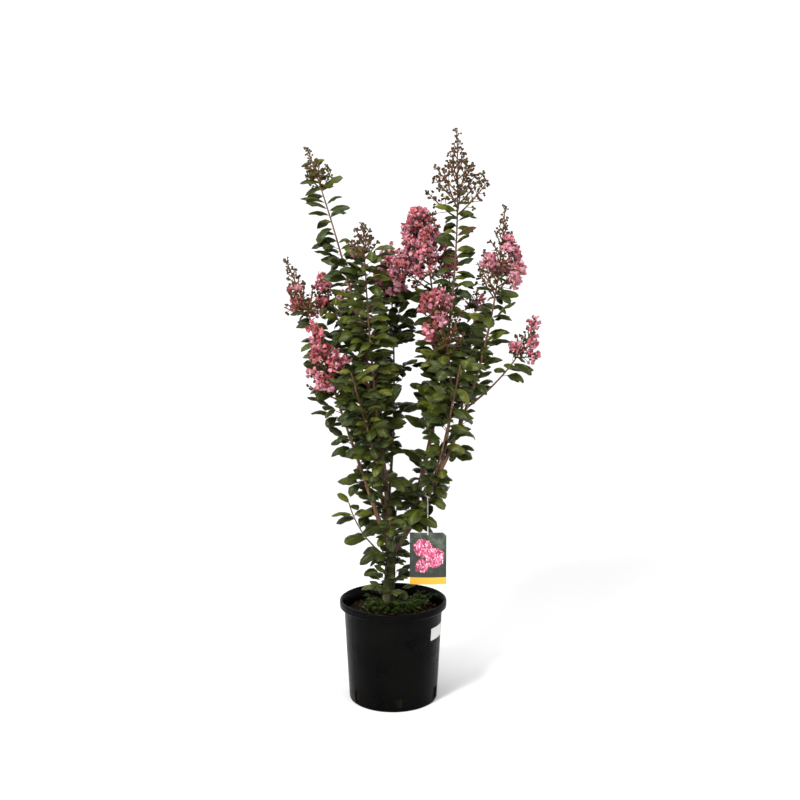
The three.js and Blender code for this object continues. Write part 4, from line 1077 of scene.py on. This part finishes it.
def pot_profile(wall_z):
    """The pot's section as (radius, z) from the middle of its underside, up the outside, over the lip,
    down the inside and to the middle of its floor. Also gives how many points come before the outer wall
    and before the inner one."""
    lip, top, inner_lip = POT_HEIGHT - LIP_HEIGHT, POT_HEIGHT, POT_RIM - LIP_WIDTH
    under = [(0, 0.6), (POT_FOOT - 14, 0.6), (POT_FOOT - 10, 0), (POT_FOOT - 2, 0),
             (pot_radius(1) - 0.5, 0.8), (pot_radius(2.4), 2.4)]
    outer = [(pot_radius(z), z) for z in wall_z]
    over = [(POT_MOUTH - 0.3, 252), (POT_MOUTH + 0.4, 256.5), (POT_MOUTH + 3, lip - 0.4),
            (POT_RIM - 1.8, lip + 0.6), (POT_RIM - 0.3, lip + 2), (POT_RIM, lip + 4),
            (POT_RIM, top - 3), (POT_RIM - 0.6, top - 1.2),
            (POT_RIM - 2.2, top), (inner_lip + 1, top), (inner_lip - 0.4, top - 1), (inner_lip - 2, top - 3),
            (POT_MOUTH - POT_WALL + 1, lip + 1), (POT_MOUTH - POT_WALL, lip - 3)]
    inner = [(radius - POT_WALL, z) for radius, z in outer[::-1]]
    floor = [(pot_radius(POT_FLOOR) - POT_WALL, POT_FLOOR), (60, POT_FLOOR), (0, POT_FLOOR)]
    return np.array(under + outer + over + inner + floor, float), len(under), len(under + outer + over)


def pot_shape():
    """The pot's profile turned about Z, closed over the middle of its floor, with slots through the wall
    near the foot. The wall is one grid of turns and heights, outside and inside alike; the quads in a
    slot are left out and its sides are bridged. Each slot has a low frame that stands off the wall."""
    half = SLOT_WIDTH / 2 / pot_radius(SLOT_BOTTOM)
    framed = half + FRAME_WIDTH / pot_radius(SLOT_BOTTOM)
    edge = framed + FRAME_BEVEL
    sector = 2 * np.pi / SLOT_COUNT
    slot = [-edge, -framed, -half, half, framed, edge]
    marks = np.concatenate([slot, np.linspace(edge, sector - edge, 14)[1:-1]])
    turns = np.concatenate([marks + SLOT_TURN + k * sector for k in range(SLOT_COUNT)])
    low, high = SLOT_BOTTOM, SLOT_TOP
    wall_z = np.array([low - 3, low - FRAME_WIDTH, low, (low + high) / 2, high, high + FRAME_WIDTH, high + 3,
                       *np.linspace(60, 240, 7)])
    profile, before_outer, before_inner = pot_profile(wall_z)
    rings, sides = len(profile) - 2, len(turns)
    outer = before_outer - 1 + np.arange(len(wall_z))
    inner = before_inner - 1 + np.arange(len(wall_z))[::-1]
    radius = np.repeat(profile[1:-1, :1], sides, 1)
    column = np.arange(sides) % len(marks)
    in_frame = np.ix_(outer[1:6], (column >= 1) & (column <= 4))
    radius[in_frame] += FRAME_PROUD
    body = about_z(radius, turns, profile[1:-1, 1:])
    points = np.concatenate([[[0, 0, profile[0, 1]]], body.reshape(-1, 3), [[0, 0, profile[-1, 1]]]])
    quads, tris = tube_faces(rings, sides)
    keep = np.ones((rings - 1, sides), bool)
    slot_columns = np.flatnonzero(column == 2)
    slot_heights = (2, 3)
    bottom, top = slot_heights[0], slot_heights[-1] + 1
    bridges = []

    def bridge(left, *corners):
        bridges.append([1 + ring * sides + (left + across) % sides for ring, across in corners])

    for left in slot_columns:
        for k in slot_heights:
            keep[[outer[k], inner[k + 1]], left] = False
            bridge(left, (outer[k], 0), (outer[k + 1], 0), (inner[k + 1], 0), (inner[k], 0))
            bridge(left, (outer[k], 1), (inner[k], 1), (inner[k + 1], 1), (outer[k + 1], 1))
        bridge(left, (outer[bottom], 0), (inner[bottom], 0), (inner[bottom], 1), (outer[bottom], 1))
        bridge(left, (outer[top], 0), (outer[top], 1), (inner[top], 1), (inner[top], 0))
    return Shape(points, np.concatenate([quads.reshape(rings - 1, sides, 4)[keep], bridges]), tris)


def mix_level(radius):
    return np.interp(radius, [0, MIX_FLAT_RADIUS, MIX_RADIUS], [MIX_LEVEL, MIX_LEVEL, MIX_EDGE_LEVEL])


def mix_bed(chance):
    """A low dome of lumps: rings of points about Z, at a height of noise over the mix's level."""
    sides = 120
    radius = np.concatenate([np.linspace(3, 125, 42), [POT_MOUTH - POT_WALL - 1.2]])[:, None] * np.ones(sides)
    level = mix_level(radius)
    ring = about_z(radius, np.arange(sides) * 2 * np.pi / sides, 0)
    lumps = 2.2 * wave_noise(ring, 8.0, 5) + 1.6 * wave_noise(ring, 3.0, 6)
    height = level + 1.5 + lumps + chance.uniform(-0.7, 0.7, radius.shape)
    ring[..., 2] = np.maximum(height, level + 0.3)
    top = ring.reshape(-1, 3)
    fan = np.stack([np.full(sides, len(top)), np.arange(sides), (np.arange(sides) + 1) % sides], -1)
    return Shape(np.concatenate([top, [[0, 0, MIX_LEVEL + 1.5]]]), ring_faces(len(radius), sides), fan)


def bark_shreds(chance):
    """Shreds of bark that lie on the bed at all angles: boxes whose corners are drawn in by chance."""
    far = np.sqrt(chance.uniform(0, 1, BARK_SHREDS)) * 130
    turn = chance.uniform(0, 2 * np.pi, BARK_SHREDS)
    middle = about_z(far, turn, mix_level(far) + chance.uniform(1.5, 6.5, BARK_SHREDS))
    middle = middle[np.linalg.norm(middle[:, :2] - np.array(TRUNK_FOOT[:2]), axis=1) > SHREDS_CLEAR]
    many = len(middle)
    way = [chance.normal(size=many), chance.normal(size=many), chance.normal(size=many) * 0.35]
    way = unit(np.stack(way, -1))
    flat = unit(np.cross(way, UP + chance.normal(size=(many, 3)) * 0.25))
    long, wide, deep = (chance.uniform(*span, (many, 1, 1)) for span in SHRED_HALVES)
    outline = ((-1, -1), (1, -0.8), (1, 0.8), (-1, 1))
    corner = np.array([(x, y, z) for z in (-1, 1) for x, y in outline], float)
    corner = corner * chance.uniform(0.55, 1.0, (many, 8, 3))
    points = middle[:, None] + (way[:, None] * corner[..., :1] * long
                                + flat[:, None] * corner[..., 1:2] * wide
                                + np.cross(way, flat)[:, None] * corner[..., 2:] * deep)
    box = np.array([[0, 1, 2, 3], [7, 6, 5, 4], [0, 4, 5, 1], [1, 5, 6, 2], [2, 6, 7, 3], [3, 7, 4, 0]])
    tone = chance.choice(3, many, p=[0.62, 0.3, 0.08])
    return Shape(points, repeated(box, many, 8), quad_finish=np.repeat(tone, 6))


def plate(front, back, wide, tall):
    """A closed plate from two grids of wide by tall points: front face outward, back face, and the rim
    between."""
    i, j = np.meshgrid(np.arange(wide - 1), np.arange(tall - 1), indexing="ij")
    a = (i * tall + j).ravel()
    faces = np.stack([a, a + tall, a + tall + 1, a + 1], -1)
    behind = faces[:, ::-1] + wide * tall
    bottom = np.arange(wide) * tall
    left = np.arange(tall)
    right = left + (wide - 1) * tall
    loop = np.concatenate([bottom, right[1:], (bottom + tall - 1)[::-1][1:], left[::-1][1:-1]])
    after = np.roll(loop, -1)
    rim = np.stack([after, loop, loop + wide * tall, after + wide * tall], -1)
    share_x = np.repeat(np.linspace(0, 1, wide), tall)
    share_y = np.tile(np.linspace(0, 1, tall), wide)
    uv = np.tile(np.stack([share_x, share_y], -1), (2, 1))
    tone = np.repeat([0, 1], [len(faces), len(behind) + len(rim)])
    return Shape(np.concatenate([front, back]), np.concatenate([faces, behind, rim]), quad_finish=tone, uv=uv)


def sticker_shape():
    """A blank label bent round the wall: a closed plate on a grid of turns and heights."""
    across, up = np.meshgrid(np.linspace(*STICKER_TURNS, 25), np.linspace(*STICKER_HEIGHTS, 3), indexing="ij")
    front, back = (about_z(pot_radius(up) + off, across, up).reshape(-1, 3) for off in STICKER_SKINS)
    return plate(front, back, *across.shape)


def card_shape():
    """The card: y = bow (2 (x - middle) / width)^2 behind its front, its top right corner cut at 45
    degrees by drawing the last columns' tops down."""
    clip_x = CARD_X[1] - CARD_CLIP
    clipped = clip_x + np.array([0.34, 0.67, 1.0]) * CARD_CLIP
    x = np.concatenate([np.linspace(CARD_X[0], clip_x, 20), clipped])[:, None]
    share = np.linspace(0, 1, 16)
    middle, half = sum(CARD_X) / 2, (CARD_X[1] - CARD_X[0]) / 2
    top = np.minimum(CARD_Z[1], CARD_Z[1] - (x - clip_x))
    z = CARD_Z[0] + (top - CARD_Z[0]) * share
    y = CARD_FRONT + CARD_BOW * ((x - middle) / half) ** 2
    front = np.stack(np.broadcast_arrays(x, y, z), -1).reshape(-1, 3)
    shape = plate(front, front + np.array([0, CARD_THICKNESS, 0]), len(x), len(share))
    spans = [(CARD_X, shape.points[:, 0]), (CARD_Z, shape.points[:, 2])]
    shape.uv = np.stack([(value - low) / (high - low) for (low, high), value in spans], -1)
    return shape


def strap_shape():
    """A flat band: a loop round the stem, and a run from the loop down to the card."""
    stem = STEMS["right"]
    centre, tangent = stem.at(STRAP_AT), stem.along(STRAP_AT)
    radius = float(stem.radius_at(STRAP_AT)) + 0.9
    first = unit(np.cross(tangent, UP))
    second = np.cross(tangent, first)
    a = np.linspace(0, 2 * np.pi, 33)[:-1]
    out = first * np.cos(a)[:, None] + second * np.sin(a)[:, None]
    breadth, loop_skin, run_skin = STRAP_HALVES
    corners = np.array([[-1, -1], [1, -1], [1, 1], [-1, 1]])
    loop = centre + out[:, None] * (radius + loop_skin * corners[:, :1]) + tangent * breadth * corners[:, 1:]
    loop_faces = ring_faces(len(a) + 1, 4) % (len(a) * 4)
    start = centre + np.array([0, -radius, 0])
    end = np.array([centre[0] + 0.5, CARD_FRONT + CARD_THICKNESS / 2 - 0.6, CARD_Z[1] - 6])
    t = np.linspace(0, 1, 12)[:, None]
    path = bowed(start, end, np.array([0, -STRAP_SAG, 0]), t)
    turn = STRAP_TWIST * np.sin(np.pi * t[:, 0])
    wide = about_z(1, turn, 0)[:, None] * breadth * corners[:, :1]
    deep = np.stack([-np.sin(turn), np.cos(turn), 0 * turn], -1)[:, None] * run_skin * corners[:, 1:]
    band = path[:, None] + wide + deep
    caps = [[3, 2, 1, 0], [44, 45, 46, 47]]
    return together([Shape(loop, loop_faces), Shape(band, np.concatenate([ring_faces(12, 4), caps]))])


# ---- The pieces ----
def put_region(growth, region):
    names = REGIONS[region]
    put(f"leaves_{region}", blades(*growth.columns("leaves", region)), "leaves",
        [f"foliage_{name}" for name in names], sharp_lines=leaf_rims)
    twigs = sweep(*growth.columns("twigs", region), sides=5)
    stems = [stem_tube(name, SHOOTS[name].bare, 1.0, sides=8, step=9.0, relief=bark_relief(2, 0.05, 3))
             for name in names]
    put(f"twigs_{region}", together([twigs, *stems]), "stem")
    heads = {f"flower_head_{name}": SHOOTS[name].head.opened for name in names if SHOOTS[name].head}
    centre, axis, radius, spin, tone = growth.columns("florets", region)
    put(f"petals_{region}", petals(centre, axis, radius, spin, tone, seed=7), "petals",
        [name for name, opened in heads.items() if opened >= HALF_OPEN])
    put(f"stamens_{region}", stamens(centre, axis, radius, seed=8), "stamen")
    cups = balls(centre - axis * 1.5, axis, np.full(len(centre), 3.2), np.full(len(centre), 2))
    put(f"buds_{region}", together([balls(*growth.columns("buds", region)), cups]), "buds",
        [name for name, opened in heads.items() if opened < HALF_OPEN])
    put(f"panicles_{region}", sweep(*growth.columns("branches", region), sides=4), "panicle")


def put_plant():
    growth = Growth()
    for number, (name, shoot) in enumerate(SHOOTS.items()):
        grow_leafy(growth, name, number)
        if shoot.head:
            grow_head(growth, name, number)
    grow_collar(growth)
    for region in REGIONS:
        put_region(growth, region)


def put_limbs():
    trunk = stem_tube("trunk", 0, 1.0, sides=56, step=2.2, relief=bark_relief(3, 0.09, 1))
    put("trunk_bark_relief", trunk, "trunk", ["trunk"])
    bare = {name: shoot.bare for name, shoot in SHOOTS.items() if shoot.bare > 0}
    boughs = [stem_tube(name, 0, end + 0.01, sides=20, step=3.5, relief=bark_relief(2, 0.07, 2))
              for name, end in bare.items()]
    put("bough_bark_relief", together(boughs), "bough", [f"bough_{name}" for name in bare])


def put_basal():
    """Low growth round the trunk's foot: short sprigs with small leaves in pairs, three tufts of them."""
    chance = np.random.default_rng(77)
    growth = Growth()
    foot_spread, tip_spread = SPRIG_SPREAD
    for foot, tip in BASAL_SHOOTS.values():
        middle = np.array([*foot, MIX_LEVEL + 2.0])
        top = np.array(tip, float)
        for _ in range(SPRIGS):
            start = middle + np.array([*chance.normal(size=2) * foot_spread, 0])
            end = start + (top - middle) * chance.uniform(0.5, 1.0)
            end += np.array([*chance.normal(size=2) * tip_spread, 0])
            path = bowed(start, end, SPRIG_BOW, TWIG[:, None])
            growth.add("twigs", "basal", path, np.linspace(1.0, 0.5, 5))
            for k, half in product(range(5), (0, 1)):
                a = k * math.pi / 2 + half * math.pi + chance.uniform(-0.4, 0.4)
                way = unit(np.array([math.cos(a), math.sin(a), chance.uniform(0.1, 0.9)]))
                place = bowed(start, end, SPRIG_BOW, 0.2 + 0.8 * k / 4)
                leaf = drawn_leaf(place, way, chance, chance.uniform(0.14, 0.28))
                growth.add("leaves", "basal", *leaf, int(chance.integers(0, 4)))
    # These leaves take the darkened low finishes: painted shade of the crown over the low growth.
    put("basal_leaves", blades(*growth.columns("leaves", "basal")), "low_leaves_painted_shade",
        list(BASAL_SHOOTS), sharp_lines=leaf_rims)
    put("basal_sprigs", sweep(*growth.columns("twigs", "basal"), sides=5), "twig")


def put_pot():
    put("nursery_pot", pot_shape(), "pot", ["pot"], corners=POT_CORNERS)
    chance = np.random.default_rng(41)
    put("mix_bed", mix_bed(chance), "mix")
    put("mix_bark_shreds", bark_shreds(chance), "chips", smooth=False)
    put("blank_label", sticker_shape(), "label", ["pot_sticker"], corners=POT_CORNERS)
    put("picture_card", card_shape(), "card", ["tag_card"], corners=POT_CORNERS)
    put("card_strap", strap_shape(), "strap", ["tag_strap"], corners=POT_CORNERS)
    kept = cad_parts["potting_mix"].data.materials
    kept.clear()
    kept.append(FINISHES["mix"][0])


# ---- Stage, in metres ----
FLOOR_RADIUS = 3.0
SWEEP = 1.5
WALL_HEIGHT = 6.0
CAMERA_PLACE = (0.019154, -2.6, 1.10353)
CAMERA_TILT = math.radians(84.214)
CAMERA_LENS = 42.70              # millimetres, on a sensor SENSOR_WIDTH wide
SENSOR_WIDTH = 36.0
LIT_POINT = Vector((0, 0, 0.8))
# name: place, width, power
LAMPS = {"key": ((-1.8, -2.6, 3.6), 0.9, 205), "fill": ((2.6, -2.6, 2.4), 1.6, 60),
         "top": ((0.2, 0.2, 4.4), 1.6, 80)}
DAYLIGHT = 0.22                  # from all round


def backdrop():
    """A pale floor that rises in a quarter circle into a wall all round: the profile (radius, height)
    turned about the upright axis."""
    sides = 96
    a = np.linspace(0, np.pi / 2, 17)
    radius = np.concatenate([[0.01, 1.0], FLOOR_RADIUS + SWEEP * np.sin(a), [FLOOR_RADIUS + SWEEP]])
    height = np.concatenate([[0.0, 0.0], SWEEP - SWEEP * np.cos(a), [WALL_HEIGHT]])
    turn = np.linspace(0, 2 * np.pi, sides, endpoint=False)
    points = about_z(radius[:, None], turn, height[:, None]).reshape(-1, 3)
    faces = ring_faces(len(radius), sides)[:, ::-1].tolist() + [list(range(sides))]
    mesh = bpy.data.meshes.new("backdrop")
    mesh.from_pydata(points.tolist(), [], faces)
    mesh.polygons.foreach_set("use_smooth", np.full(len(faces), True))
    mesh.materials.append(Paint("backdrop_white").done((0.84, 0.84, 0.84), 0.9))
    stage = bpy.data.objects.new("backdrop", mesh)
    bpy.context.scene.collection.objects.link(stage)


def soft_light(name, place, width, power):
    light = bpy.data.lights.new(name, "AREA")
    light.shape = "DISK"
    light.size = width
    light.energy = power
    lamp = bpy.data.objects.new(name, light)
    lamp.location = place
    lamp.rotation_euler = (LIT_POINT - Vector(place)).to_track_quat("-Z", "Y").to_euler()
    bpy.context.scene.collection.objects.link(lamp)


def light_and_camera():
    scene = bpy.context.scene
    world = bpy.data.worlds.new("studio")
    world.use_nodes = True
    background = world.node_tree.nodes["Background"]
    background.inputs["Color"].default_value = (1, 1, 1, 1)
    background.inputs["Strength"].default_value = DAYLIGHT
    scene.world = world
    for name, lamp in LAMPS.items():
        soft_light(name, *lamp)
    data = bpy.data.cameras.new("camera")
    data.lens = CAMERA_LENS
    data.sensor_width = SENSOR_WIDTH
    camera = bpy.data.objects.new("camera", data)
    camera.location = CAMERA_PLACE
    camera.rotation_euler = (CAMERA_TILT, 0, 0)
    scene.collection.objects.link(camera)
    scene.camera = camera
    scene.view_settings.view_transform = "Standard"


light_and_camera()
backdrop()
put_pot()
put_limbs()
put_basal()
put_plant()
